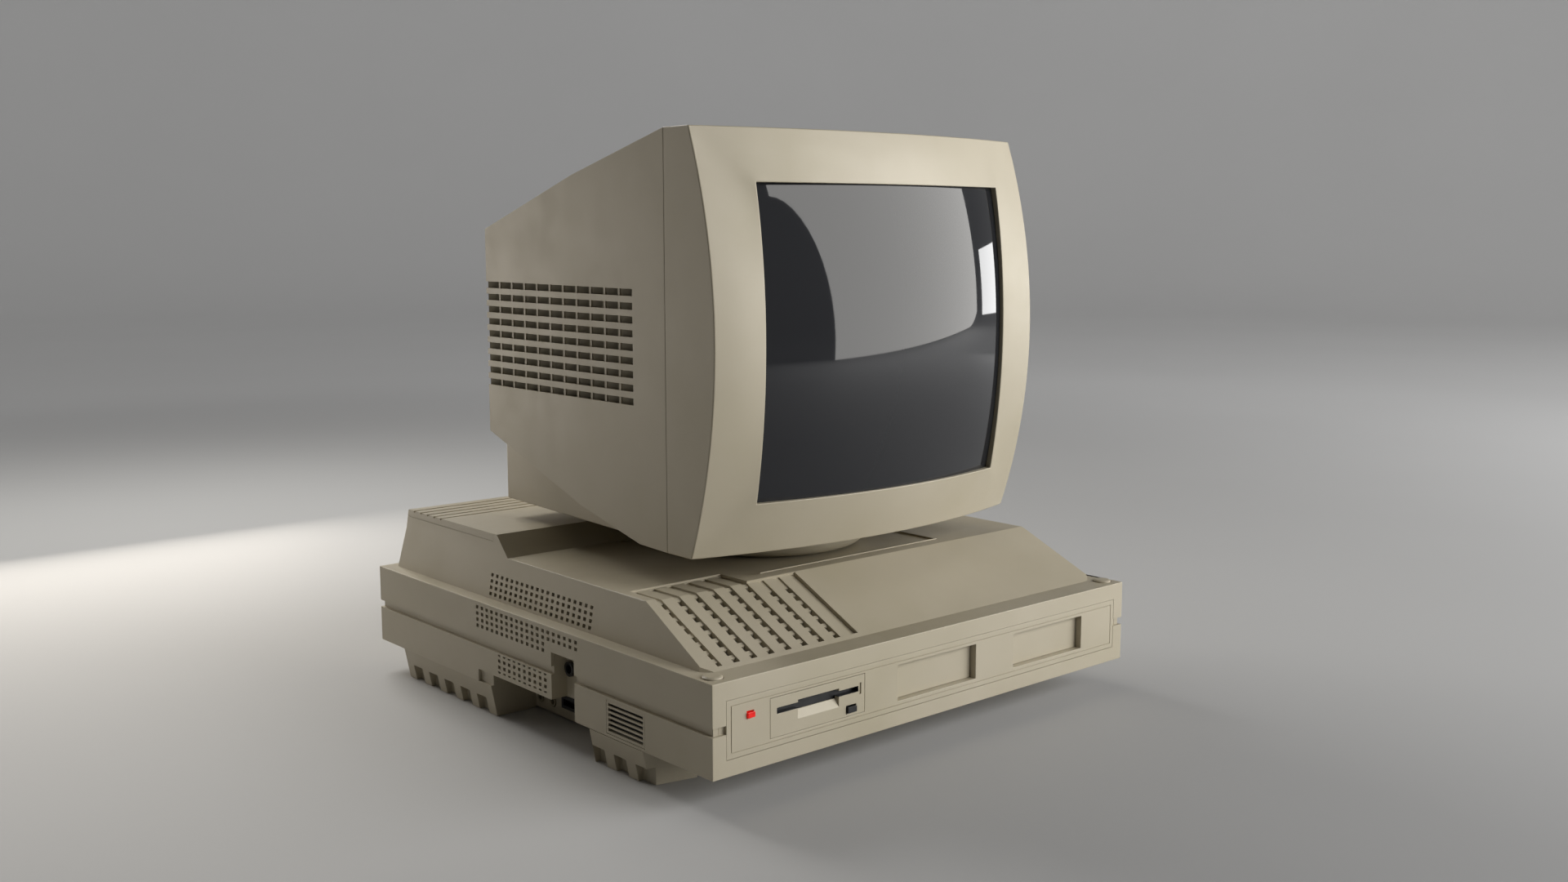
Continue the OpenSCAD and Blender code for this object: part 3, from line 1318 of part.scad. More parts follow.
module crt_tube() {
    color(glass_grey) in_case() difference() {
        union() {
            intersection() {
                mid_block(tube_hw, tube_hh, mon_y, skirt_y);
                front_curve(glass_back);
            }
            intersection() {
                mid_block(tube_hw, tube_hh, skirt_y - over, funnel_y);
                funnel_cone(0);
            }
            rod_y(0, funnel_y - wall, tube_mid_z, neck_r, neck_y - funnel_y + wall);
        }
        intersection() {
            mid_block(tube_hw - skirt_t, tube_hh - skirt_t, mon_y, skirt_y);
            front_curve(glass_back + glass_t);
        }
        intersection() {
            mid_block(tube_hw - skirt_t, tube_hh - skirt_t, skirt_y - over, funnel_y);
            funnel_cone(-skirt_t);
        }
        rod_y(0, funnel_y - wall * 4, tube_mid_z, neck_r - wall / 2, neck_y - funnel_y + wall * 3);
    }
}

module crt_band() {
    color(steel) in_case() difference() {
        union() {
            mid_block(tube_hw + wall / 2, tube_hh + wall / 2, ear_y - wall, ear_y + wall * 4);
            difference() {
                mid_block(ear_x + wall * 2, ear_z + wall * 2, ear_y, ear_y + wall / 2);
                mid_block(tube_hw - wall * 5, ear_z + wall * 3, ear_y - over, ear_y + wall);
                mid_block(ear_x + wall * 3, tube_hh - wall * 5, ear_y - over, ear_y + wall);
            }
        }
        mid_block(tube_hw, tube_hh, ear_y - wall * 2, ear_y + wall * 5);
        at_ears() translate([0, 0, -over]) cylinder(r = pin_r + shaft_gap, h = wall);
    }
}

module deflection_yoke() {
    color("#6b3a22") in_case() difference() {
        rod_y(0, funnel_y - wall * 4, tube_mid_z, neck_r * 3.4, wall * 13);
        rod_y(0, funnel_y - wall * 5, tube_mid_z, neck_r + shaft_gap, wall * 15);
        funnel_cone(seat_gap * 2);
    }
}

module neck_board() {
    color(board_green) in_case() mid_block(neck_r * 2.6, neck_r * 2.6, neck_y, neck_y + board_t);
}

module at_monitor_posts() {
    for (sx = [-1, 1])
        for (y = [low_board_y[0] + wall * 3, low_board_y[1] - wall * 3])
            translate([sx * (low_board_hw - wall * 3), y, low_board_z]) children();
}

module monitor_board() {
    color(board_green) in_case() difference() {
        span([-low_board_hw, low_board_y[0], low_board_z],
             [low_board_hw, low_board_y[1], low_board_z + board_t]);
        at_monitor_posts() translate([0, 0, -over]) cylinder(r = pin_r + shaft_gap, h = board_t + over * 2);
    }
}

module flyback() {
    color(black_abs) in_case()
        translate([-low_board_hw * 0.72, low_board_y[1] - mon_d * 0.2, low_board_z + board_t]) {
        cube([mon_w * 0.1, mon_d * 0.11, mon_h * 0.16]);
        translate([mon_w * 0.05, mon_d * 0.055, 0]) cylinder(r = mon_w * 0.03, h = mon_h * 0.19);
    }
}

module monitor_screws() {
    color(steel) in_case() {
        at_ears() translate([0, 0, wall / 2]) screw(screw_l * 0.8);
        at_bowl_screws() translate([0, 0, wall]) screw(screw_l * 0.8 + wall / 2);
        at_seam_screws() translate([0, 0, -head_t]) screw(screw_l * 0.8);
    }
}

module control_pots() {
    color(steel) in_case() for (x = knob_x)
        difference() {
            rod_y(x, back_y - wall * 5, knob_z, knob_r, wall * 4);
            rod_y(x, back_y - wall * 5 - over, knob_z, stem_r + shaft_gap, wall * 5);
        }
}

module knob(x) {
    color(putty_dark) in_case() difference() {
        union() {
            rod_y(x, back_y + run_gap, knob_z, knob_r, wall * 3);
            rod_y(x, back_y - wall * 4.5, knob_z, stem_r, wall * 5);
        }
        // Finger slot across the face, which also shows how far the knob is turned
        span([x - wall / 4, back_y + wall * 2, knob_z],
             [x + wall / 4, back_y + wall * 4, knob_z + knob_r + over]);
    }
}
module brightness_knob() { knob(knob_x[0]); }
module contrast_knob() { knob(knob_x[1]); }

module signal_socket() {
    color(steel) in_case() d_socket(sock_x[0], back_y - wall, sock_z, wall + wall / 3);
}

module monitor_inlet() {
    color(black_abs) in_case() inlet(sock_x[1], back_y, sock_z);
}

module monitor_inlet_pins() {
    color(steel) in_case() inlet_pin_set(sock_x[1], back_y, sock_z);
}

lower_shell();
upper_shell();
rear_cover();
front_panel();
bay_blank_left();
bay_blank_right();
floppy_bezel();
floppy_body();
floppy_flap();
eject_button();
drive_shelf();
power_led();
corner_caps();
foot_front_left();
foot_front_right();
foot_rear_left();
foot_rear_right();
speaker_louvre();
speaker();
keyboard_jack();
audio_jacks();
side_port();
motherboard();
board_chips();
chassis_plate();
rear_panel();
port_board();
rear_ports();
psu_case();
fan_frame();
fan_rotor();
mains_inlet();
inlet_pins();
rocker_frame();
power_rocker();
case_screws();
small_screws();
swivel_plate();
swivel_dish();
swivel_clip();
tilt_keeper();
keeper_nut();
monitor_bezel();
monitor_housing();
crt_tube();
crt_band();
deflection_yoke();
neck_board();
monitor_board();
flyback();
tilt_bowl();
monitor_screws();
control_pots();
brightness_knob();
contrast_knob();
signal_socket();
monitor_inlet();
monitor_inlet_pins();
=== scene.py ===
import json
import math

import bmesh
import bpy
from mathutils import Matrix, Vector


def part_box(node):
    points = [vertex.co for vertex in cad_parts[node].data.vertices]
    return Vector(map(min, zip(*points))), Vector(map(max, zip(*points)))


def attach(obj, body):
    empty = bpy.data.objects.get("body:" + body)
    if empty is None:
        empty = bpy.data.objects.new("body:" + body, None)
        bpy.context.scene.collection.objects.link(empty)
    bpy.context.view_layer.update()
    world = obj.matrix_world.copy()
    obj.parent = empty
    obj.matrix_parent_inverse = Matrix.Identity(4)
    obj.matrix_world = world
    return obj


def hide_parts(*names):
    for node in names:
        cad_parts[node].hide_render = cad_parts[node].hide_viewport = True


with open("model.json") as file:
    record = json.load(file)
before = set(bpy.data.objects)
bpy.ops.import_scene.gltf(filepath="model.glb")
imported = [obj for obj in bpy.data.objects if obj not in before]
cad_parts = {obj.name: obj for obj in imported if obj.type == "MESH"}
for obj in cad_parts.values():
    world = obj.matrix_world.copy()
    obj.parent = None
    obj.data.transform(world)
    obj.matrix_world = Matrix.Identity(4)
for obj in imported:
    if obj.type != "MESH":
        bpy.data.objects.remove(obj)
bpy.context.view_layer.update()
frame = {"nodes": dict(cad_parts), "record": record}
cad = frame["nodes"]

MM = 0.001
SCENE = bpy.context.scene

# Places on the object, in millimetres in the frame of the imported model
CASE_FRONT = -267.0
CASE_LEFT = -252.5
SHELL_WALL = 3.0
DECK = 146.0
MONITOR_HALF_WIDTH = 191.5
MONITOR_LOW = 175.0
MONITOR_HIGH = 523.0
MONITOR_MID = (MONITOR_LOW + MONITOR_HIGH) / 2
SEAM = 134.6 + CASE_FRONT
PIVOT = (0.0, -34.87)


# Colours

def linear(code):
    """An sRGB hex colour as the linear numbers that a shader takes."""
    parts = [int(code[i:i + 2], 16) / 255 for i in (1, 3, 5)]
    return tuple(p / 12.92 if p <= 0.04045 else ((p + 0.055) / 1.055) ** 2.4 for p in parts) + (1.0,)


# Materials

def set_sockets(tree, node, **inputs):
    """Sets a node's sockets, named or numbered as i0, i1 and so on: to a value, or linked to another node's output."""
    for key, value in inputs.items():
        numbered = key[0] == "i" and key[1:].isdigit()
        socket = node.inputs[int(key[1:]) if numbered else key.replace("_", " ")]
        if isinstance(value, bpy.types.NodeSocket):
            tree.links.new(value, socket)
        else:
            socket.default_value = value


def add(tree, kind, settings=None, stops=(), **inputs):
    """One more node: settings are its properties, stops a ramp's (place, hex or grey value) pairs, inputs its
    sockets."""
    node = tree.nodes.new(kind)
    for key, value in (settings or {}).items():
        setattr(node, key, value)
    # A new ramp has two stops already
    for _ in stops[2:]:
        node.color_ramp.elements.new(0.5)
    for number, (place, shade) in enumerate(stops):
        element = node.color_ramp.elements[number]
        element.position = place
        element.color = linear(shade) if isinstance(shade, str) else (shade, shade, shade, 1.0)
    set_sockets(tree, node, **inputs)
    return node


def empty_material(name):
    """A material with an empty node tree."""
    made = bpy.data.materials.new(name)
    made.use_nodes = True
    made.node_tree.nodes.clear()
    return made, made.node_tree


def new_material(name, **constants):
    """A material with one Principled shader, whose own sockets hold the constants, and the place on the object that
    its patterns follow."""
    made, tree = empty_material(name)
    shader = add(tree, "ShaderNodeBsdfPrincipled", **constants)
    add(tree, "ShaderNodeOutputMaterial", Surface=shader.outputs["BSDF"])
    place = add(tree, "ShaderNodeTexCoord").outputs["Object"]
    return made, tree, shader, place


def per_mm(size):
    """Noise scale that gives features of that size in millimetres."""
    return 1.0 / (size * MM)


# Distance between the bands of a wave texture at scale 1
WAVE_PERIOD = 2 * math.pi / 20


def moulded_abs(name, shade, darker, lighter, gloss_range=(0.42, 0.56)):
    """ABS moulded in a spark-eroded tool: an even putty colour that has yellowed a little unevenly, a fine grain,
    and a soft low gloss. The grain of about 0.3 mm is drawn at 0.9 mm so that it shows."""
    made, tree, shader, place = new_material(name, IOR=1.53)
    ageing = add(tree, "ShaderNodeTexNoise", Vector=place, Scale=per_mm(140), Detail=3.0, Roughness=0.55)
    tint = add(tree, "ShaderNodeValToRGB", stops=[(0.30, darker), (0.52, shade), (0.75, lighter)],
               Fac=ageing.outputs["Fac"])
    handling = add(tree, "ShaderNodeTexNoise", Vector=place, Scale=per_mm(32), Detail=4.0, Roughness=0.6)
    gloss = add(tree, "ShaderNodeValToRGB", stops=[(0.35, gloss_range[0]), (0.70, gloss_range[1])],
                Fac=handling.outputs["Fac"])
    grain = add(tree, "ShaderNodeTexNoise", Vector=place, Scale=per_mm(0.9), Detail=2.0, Roughness=0.5)
    relief = add(tree, "ShaderNodeBump", Strength=0.10, Distance=0.05 * MM, Height=grain.outputs["Fac"])
    set_sockets(tree, shader, Base_Color=tint.outputs["Color"], Roughness=gloss.outputs["Color"],
                Normal=relief.outputs["Normal"])
    return made


def black_abs(name):
    """Black ABS, moulded smooth: near black with a satin sheen and faint handling marks."""
    made, tree, shader, place = new_material(name, IOR=1.53)
    marks = add(tree, "ShaderNodeTexNoise", Vector=place, Scale=per_mm(9), Detail=3.0)
    tint = add(tree, "ShaderNodeValToRGB", stops=[(0.3, "#17181a"), (0.8, "#232427")], Fac=marks.outputs["Fac"])
    gloss = add(tree, "ShaderNodeValToRGB", stops=[(0.3, 0.34), (0.7, 0.46)], Fac=marks.outputs["Fac"])
    set_sockets(tree, shader, Base_Color=tint.outputs["Color"], Roughness=gloss.outputs["Color"])
    return made


def red_lens(name):
    """Diffusing red polycarbonate lens of the power lamp: saturated, glossy, a little light inside."""
    made, tree, shader, place = new_material(
        name, Roughness=0.22, IOR=1.58, Emission_Color=linear("#ff1a10"), Emission_Strength=0.25)
    depth = add(tree, "ShaderNodeTexNoise", Vector=place, Scale=per_mm(2.5), Detail=1.0)
    tint = add(tree, "ShaderNodeValToRGB", stops=[(0.3, "#c4120f"), (0.8, "#e0201a")], Fac=depth.outputs["Fac"])
    set_sockets(tree, shader, Base_Color=tint.outputs["Color"])
    return made


def tinted_face_glass(name):
    """Dark tinted face glass of the picture tube, ground and polished: almost a mirror over a charcoal ground."""
    made, tree, shader, place = new_material(name, Base_Color=linear("#242528"), IOR=1.52)
    haze = add(tree, "ShaderNodeTexNoise", Vector=place, Scale=per_mm(60), Detail=2.0)
    gloss = add(tree, "ShaderNodeValToRGB", stops=[(0.3, 0.02), (0.8, 0.045)], Fac=haze.outputs["Fac"])
    set_sockets(tree, shader, Roughness=gloss.outputs["Color"])
    return made


def zinc_sheet(name):
    """Zinc-plated sheet steel, rolled then blanked: cool grey, with a fine rolling grain along one way, 18 mm long
    and 1.3 mm wide."""
    made, tree, shader, place = new_material(name, Metallic=1.0)
    along = add(tree, "ShaderNodeMapping", Vector=place, Scale=(1.0, 14.0, 14.0))
    grain = add(tree, "ShaderNodeTexNoise", Vector=along.outputs["Vector"], Scale=per_mm(18), Detail=4.0)
    tint = add(tree, "ShaderNodeValToRGB", stops=[(0.3, "#a9acae"), (0.7, "#c9cbcc")], Fac=grain.outputs["Fac"])
    gloss = add(tree, "ShaderNodeValToRGB", stops=[(0.3, 0.28), (0.7, 0.42)], Fac=grain.outputs["Fac"])
    set_sockets(tree, shader, Base_Color=tint.outputs["Color"], Roughness=gloss.outputs["Color"])
    return made


def powder_coat(name):
    """Powder-coated steel in the case colour: satin with the slight orange peel of a baked powder, about 1 mm."""
    made, tree, shader, place = new_material(name, Roughness=0.4, IOR=1.5)
    peel = add(tree, "ShaderNodeTexNoise", Vector=place, Scale=per_mm(1.2), Detail=1.0)
    tint = add(tree, "ShaderNodeValToRGB", stops=[(0.3, "#a49b84"), (0.7, "#ada48d")], Fac=peel.outputs["Fac"])
    relief = add(tree, "ShaderNodeBump", Strength=0.15, Distance=0.05 * MM, Height=peel.outputs["Fac"])
    set_sockets(tree, shader, Base_Color=tint.outputs["Color"], Normal=relief.outputs["Normal"])
    return made


def plated_brass(name):
    """Bright plated brass pins, stamped: warm yellow metal with fine drawn lines."""
    made, tree, shader, place = new_material(name, Base_Color=linear("#d9b96c"), Metallic=1.0)
    drawn = add(tree, "ShaderNodeTexNoise", Vector=place, Scale=per_mm(1.5), Detail=2.0)
    gloss = add(tree, "ShaderNodeValToRGB", stops=[(0.3, 0.16), (0.7, 0.28)], Fac=drawn.outputs["Fac"])
    set_sockets(tree, shader, Roughness=gloss.outputs["Color"])
    return made


def green_laminate(name):
    """Glass-fibre laminate under green solder mask, with a faint 1 mm weave and tracks that show through the mask."""
    made, tree, shader, place = new_material(name, Roughness=0.35, IOR=1.5)
    tracks = add(tree, "ShaderNodeTexBrick", Vector=place, Scale=per_mm(14), Mortar_Size=0.012,
                 Color1=linear("#1f4a2c"), Color2=linear("#24522f"), Mortar=linear("#2f6a3d"))
    weave = add(tree, "ShaderNodeTexNoise", Vector=place, Scale=per_mm(1.0), Detail=1.0)
    relief = add(tree, "ShaderNodeBump", Strength=0.1, Distance=0.03 * MM, Height=weave.outputs["Fac"])
    set_sockets(tree, shader, Base_Color=tracks.outputs["Color"], Normal=relief.outputs["Normal"])
    return made


def enamelled_winding(name):
    """Enamelled copper wire wound in bundles and bedded in resin: dark amber bands about 9.4 mm apart."""
    made, tree, shader, place = new_material(name, Roughness=0.3, IOR=1.55)
    bundles = add(tree, "ShaderNodeTexWave", {"bands_direction": "Y"}, Vector=place,
                  Scale=per_mm(9.425) * WAVE_PERIOD, Distortion=0.6)
    tint = add(tree, "ShaderNodeValToRGB", stops=[(0.2, "#3d160a"), (0.8, "#8a431f")], Fac=bundles.outputs["Fac"])
    relief = add(tree, "ShaderNodeBump", Strength=0.4, Distance=0.3 * MM, Height=bundles.outputs["Fac"])
    set_sockets(tree, shader, Base_Color=tint.outputs["Color"], Normal=relief.outputs["Normal"])
    return made


PUTTY_DARK = moulded_abs("abs_moulded_dark_putty", "#9a917a", "#938a72", "#a29983")
FINISH = {
    "moulded_beige": moulded_abs("abs_moulded_putty", "#b2a994", "#ada48d", "#b7ae9a", (0.38, 0.50)),
    "moulded_dark_beige": PUTTY_DARK,
    "black_plastic": black_abs("abs_moulded_black"),
    "lamp_red": red_lens("polycarbonate_red_lens"),
    "tube_glass": tinted_face_glass("face_glass_polished"),
    "plated_steel": zinc_sheet("steel_zinc_plated"),
    "painted_steel": powder_coat("steel_powder_coated"),
    "brass_pins": plated_brass("brass_bright_plated"),
    "circuit_board": green_laminate("glass_fibre_laminate"),
    "copper_winding": enamelled_winding("copper_enamelled_winding"),
}
# The ends of the audio jacks are putty coloured, unlike the other pieces of their slot
OWN_FINISH = {"audio_jacks": PUTTY_DARK}

slot_of = {part["node"]: part["material_slot"] for part in frame["record"]["subparts"]}
body_of = {node: body for body, nodes in frame["record"]["behaviour"]["bodies"].items() for node in nodes}
for node, carried in cad.items():
    carried.data.materials.clear()
    carried.data.materials.append(OWN_FINISH.get(node, FINISH[slot_of[node]]))


# Pieces

def new_piece(name, mesh, slot):
    """An object of the mesh, in the finish of the slot."""
    piece = bpy.data.objects.new(name, mesh)
    SCENE.collection.objects.link(piece)
    mesh.materials.clear()
    mesh.materials.append(FINISH[slot])
    return piece


def put(name, mesh, node):
    """A finished piece that stands for a CAD node and moves with its body."""
    piece = new_piece(name, mesh, slot_of[node])
    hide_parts(node)
    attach(piece, body_of[node])


def added(name, mesh, carrier, slot):
    """A piece that has no CAD node of its own: it rides with the body of the node that carries it."""
    piece = new_piece(name, mesh, slot)
    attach(piece, body_of[carrier])


def skin(made, rows, ring=False):
    """Faces between neighbouring rows of vertices; in a ring the last vertex of a row joins the first."""
    for a, b in zip(rows, rows[1:]):
        for i in range(len(a) if ring else len(a) - 1):
            k = (i + 1) % len(a)
            made.faces.new((a[i], a[k], b[k], b[i]))


def mesh_of(made, name, smooth=False):
    """The mesh of a finished bmesh, with its faces turned outwards."""
    bmesh.ops.recalc_face_normals(made, faces=made.faces)
    for face in made.faces:
        face.smooth = smooth
    mesh = bpy.data.meshes.new(name)
    made.to_mesh(mesh)
    made.free()
    return mesh


def add_prism(made, plan, low, high):
    """A closed upright prism over a plan of (x, y) pairs, from height low to high, in millimetres."""
    rings = [[made.verts.new(Vector((x, y, z)) * MM) for x, y in plan] for z in (low, high)]
    for ring in rings:
        made.faces.new(ring)
    skin(made, rings, ring=True)


def plate_mesh(name, plates):
    """A mesh of rectangular plates from (lowest corner, highest corner) pairs in millimetres."""
    made = bmesh.new()
    for low, high in plates:
        plan = ((low[0], low[1]), (high[0], low[1]), (high[0], high[1]), (low[0], high[1]))
        add_prism(made, plan, low[2], high[2])
    return mesh_of(made, name)


def rings_round(made, outline, centre=(0.0, 0.0), count=96):
    """Rings of vertices round an upright axis, from (radius, height) pairs in millimetres."""
    turns = [2 * math.pi * i / count for i in range(count)]
    return [[made.verts.new(Vector((radius * math.cos(a) + centre[0], radius * math.sin(a) + centre[1], height)) * MM)
             for a in turns] for radius, height in outline]


# Rounded edges

# Degrees between faces above which an edge is rounded, and above which the shading breaks
ROUND_ABOVE = 32.0
CRISP_ABOVE = 50.0
# Cosine above which neighbouring edges run on in line, and the room of a run as a share of its own length
IN_LINE = 0.98
OWN_SHARE = 1.2


def modified(mesh, kind, **settings):
    """The mesh with one modifier applied."""
    trial = bpy.data.objects.new("trial", mesh)
    SCENE.collection.objects.link(trial)
    step = trial.modifiers.new(kind.lower(), kind)
    for key, value in settings.items():
        setattr(step, key, value)
    graph = bpy.context.evaluated_depsgraph_get()
    applied = bpy.data.meshes.new_from_object(trial.evaluated_get(graph), depsgraph=graph)
    bpy.data.objects.remove(trial)
    return applied


def turn_of(edge):
    """The angle between the two faces at an edge, or none at an open edge."""
    return edge.calc_face_angle(0.0) if len(edge.link_faces) == 2 else 0.0


def straight_runs(sharp):
    """Groups the sharp edges into straight runs, each with the room that its neighbours leave for rounding."""
    def way(edge):
        return (edge.verts[1].co - edge.verts[0].co).normalized()

    seen = set()
    for start in sharp:
        if start in seen:
            continue
        run, waiting, room = [], [start], []
        seen.add(start)
        while waiting:
            edge = waiting.pop()
            run.append(edge)
            for corner in edge.verts:
                for other in corner.link_edges:
                    if other is edge or other not in sharp:
                        continue
                    if abs(way(other).dot(way(edge))) < IN_LINE:
                        room.append(other.calc_length())
                    elif other not in seen:
                        seen.add(other)
                        waiting.append(other)
        yield run, min(room + [OWN_SHARE * sum(edge.calc_length() for edge in run)])


def with_edges(mesh, width, segments=2, angle=ROUND_ABOVE, share=0.3, least=1.2, crease=None):
    """The mesh with its edges above the angle rounded by up to width millimetres: at most the share of the shortest
    neighbour, and not at all where that is under least millimetres. Other edges above the crease angle stay crisp."""
    made = bmesh.new()
    made.from_mesh(mesh)
    weight = made.edges.layers.float.get("bevel_weight_edge") or made.edges.layers.float.new("bevel_weight_edge")
    sharp = {edge for edge in made.edges if turn_of(edge) > math.radians(angle)}
    for run, room in straight_runs(sharp):
        level = min(1.0, room * share / (width * MM)) if room > least * MM else 0.0
        for edge in run:
            edge[weight] = level
    for face in made.faces:
        face.smooth = True
    for edge in made.edges:
        edge.smooth = crease is None or edge[weight] > 0.0 or turn_of(edge) < math.radians(crease)
    made.to_mesh(mesh)
    made.free()
    rounded = modified(
        mesh, "BEVEL", width=width * MM, segments=segments, limit_method="WEIGHT", use_clamp_overlap=False,
        miter_outer="MITER_SHARP", loop_slide=True, profile=0.6, face_strength_mode="FSTR_ALL")
    made = bmesh.new()
    made.from_mesh(rounded)
    bmesh.ops.triangulate(made, faces=[face for face in made.faces if len(face.verts) > 4], ngon_method="EAR_CLIP")
    for edge in made.edges:
        if turn_of(edge) > math.radians(CRISP_ABOVE):
            edge.smooth = False
    made.to_mesh(rounded)
    made.free()
    return modified(rounded, "WEIGHTED_NORMAL", weight=50, keep_sharp=True, use_face_influence=True)


# Mouldings, made from their CAD nodes

# Millimetres within which corners are one, and degrees within which neighbouring faces are one flat face
WELD = 0.004
FLAT_WITHIN = 0.1
RINGED = ("upper_shell",)


def moulding(node, width, least=1.2, crease=15.0, shares=(1.0, 1.0)):
    """The CAD node as a moulding: its flat faces joined up and its edges rounded. The shares scale it about its
    middle in x and z, where the photographed piece is a little smaller. A ringed node has faces that go all the way
    round it, which are split into simple ones."""
    mesh = cad[node].data.copy()
    flat = bmesh.new()
    flat.from_mesh(mesh)
    bmesh.ops.remove_doubles(flat, verts=flat.verts, dist=WELD * MM)
    bmesh.ops.dissolve_limit(flat, angle_limit=math.radians(FLAT_WITHIN), verts=flat.verts, edges=flat.edges)
    if node in RINGED:
        bmesh.ops.connect_verts_concave(flat, faces=[face for face in flat.faces if len(face.verts) > 4])
    low, high = (Vector(corner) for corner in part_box(node))
    middle = (low + high) / 2
    for corner in flat.verts:
        corner.co.x = middle.x + (corner.co.x - middle.x) * shares[0]
        corner.co.z = middle.z + (corner.co.z - middle.z) * shares[1]
    flat.to_mesh(mesh)
    flat.free()
    put(node + "_moulding", with_edges(mesh, width, least=least, crease=crease), node)


# Each node's rounding, and how long a neighbouring edge has to be for it, so that small vents and ribs stay crisp
for node, width, least in (
    ("lower_shell", 1.0, 12.0), ("upper_shell", 1.0, 12.0), ("rear_cover", 0.9, 2.0), ("monitor_housing", 1.0, 9.0),
    ("front_panel", 0.45, 1.2), ("floppy_bezel", 0.4, 1.2), ("foot_front_left", 0.8, 4.0),
    ("foot_front_right", 0.8, 4.0), ("foot_rear_left", 0.8, 2.0), ("foot_rear_right", 0.8, 2.0),
    ("bay_blank_left", 0.3, 1.2), ("bay_blank_right", 0.3, 1.2),
):
    moulding(node, width, least)
moulding("corner_caps", 0.5, crease=None)
moulding("power_led", 0.5, shares=(1.0, 0.72))
moulding("eject_button", 0.4, shares=(0.92, 0.82))


# Black sheets on the faces inside the disk slot of the bezel: painted shade, so that the slot reads dark inside

SLOT_X = (-188.43, -100.43)
FINGER_X = (-166.43, -122.43)
SLOT_Z = (69.34, 74.14)
LIP_Y = (-266.75, -262.1)
SLOT_SHADE_THICK = 0.3
SLOT_SHADE_LAP = 0.01
# Painted shade: black plates on the floor and at both ends of the slot
added("slot_painted_shade", plate_mesh("slot_painted_shade", [
    ((SLOT_X[0], LIP_Y[0], SLOT_Z[0] - SLOT_SHADE_LAP), (FINGER_X[0], LIP_Y[1], SLOT_Z[0] + SLOT_SHADE_THICK)),
    ((FINGER_X[1], LIP_Y[0], SLOT_Z[0] - SLOT_SHADE_LAP), (SLOT_X[1], LIP_Y[1], SLOT_Z[0] + SLOT_SHADE_THICK)),
    ((SLOT_X[1] - SLOT_SHADE_THICK, LIP_Y[0], SLOT_Z[0]), (SLOT_X[1] + SLOT_SHADE_LAP, LIP_Y[1], SLOT_Z[1])),
    ((SLOT_X[0] - SLOT_SHADE_LAP, LIP_Y[0], SLOT_Z[0]), (SLOT_X[0] + SLOT_SHADE_THICK, LIP_Y[1], SLOT_Z[1])),
]), "floppy_bezel", "black_plastic")


# Loudspeaker louvre: frame, slats and baffle, with a black sheet behind the slats that paints shade into the gaps
# between them

LOUVRE_Y = (-180.7, -127.91)
LOUVRE_Z = (33.0, 61.28)
LOUVRE_BACK = CASE_LEFT + SHELL_WALL
BAR = 2.4
SLATS = 5
SLAT_PITCH = (LOUVRE_Z[1] - LOUVRE_Z[0] - BAR * 2) / (SLATS + 0.5)
SLAT_FIRST = 0.55
SLAT_SHARE = 0.42
SLAT_DEPTH = SHELL_WALL * 0.6
BAFFLE_X = (LOUVRE_BACK + 0.3, -247.0)
BAFFLE_TOP = 62.5
LOUVRE_SHADE_THICK = 0.3
inner_y = (LOUVRE_Y[0] + BAR, LOUVRE_Y[1] - BAR)
inner_z = (LOUVRE_Z[0] + BAR, LOUVRE_Z[1] - BAR)
louvre_plates = [
    ((CASE_LEFT, LOUVRE_Y[0], LOUVRE_Z[0]), (LOUVRE_BACK, inner_y[0], LOUVRE_Z[1])),
    ((CASE_LEFT, inner_y[1], LOUVRE_Z[0]), (LOUVRE_BACK, LOUVRE_Y[1], LOUVRE_Z[1])),
    ((CASE_LEFT, inner_y[0], LOUVRE_Z[0]), (LOUVRE_BACK, inner_y[1], inner_z[0])),
    ((CASE_LEFT, inner_y[0], inner_z[1]), (LOUVRE_BACK, inner_y[1], LOUVRE_Z[1])),
    ((BAFFLE_X[0], LOUVRE_Y[0] - SHELL_WALL, LOUVRE_Z[0]), (BAFFLE_X[1], LOUVRE_Y[1] + SHELL_WALL, BAFFLE_TOP)),
]
for i in range(SLATS):
    foot = inner_z[0] + SLAT_PITCH * (i + SLAT_FIRST)
    louvre_plates.append(((CASE_LEFT, inner_y[0], foot),
                          (CASE_LEFT + SLAT_DEPTH, inner_y[1], foot + SLAT_PITCH * SLAT_SHARE)))
put("speaker_louvre_plates", with_edges(plate_mesh("speaker_louvre_plates", louvre_plates), 0.3), "speaker_louvre")
# Painted shade: a black sheet just behind the slats, so that the gaps between them read dark
added("speaker_painted_shade", plate_mesh("speaker_painted_shade", [
    ((LOUVRE_BACK - LOUVRE_SHADE_THICK, inner_y[0], inner_z[0]), (LOUVRE_BACK, inner_y[1], inner_z[1])),
]), "speaker_louvre", "black_plastic")


# Thin raised rim along the front edge and the right end of the recess under the swivel

RECESS_X = (-113.9, 122.5)
RECESS_Y = (123.7 + CASE_FRONT, 316.0 + CASE_FRONT)
RIM_WIDTH = 0.8
RIM_LAP = 0.1
RIM_ROOT = DECK - 1.6
RIM_START = 14.0
RIM_FRONT_TOP = DECK + 0.7
RIM_END_TOP = DECK + 0.25
added("recess_rim", plate_mesh("recess_rim", [
    ((RECESS_X[0] + RIM_START, RECESS_Y[0] - RIM_LAP, RIM_ROOT),
     (RECESS_X[1] + RIM_WIDTH, RECESS_Y[0] + RIM_WIDTH, RIM_FRONT_TOP)),
    ((RECESS_X[1] - RIM_LAP, RECESS_Y[0] - RIM_LAP, RIM_ROOT),
     (RECESS_X[1] + RIM_WIDTH, RECESS_Y[1], RIM_END_TOP)),
]), "upper_shell", "moulded_beige")


# Slanted vanes in the side slots of the monitor

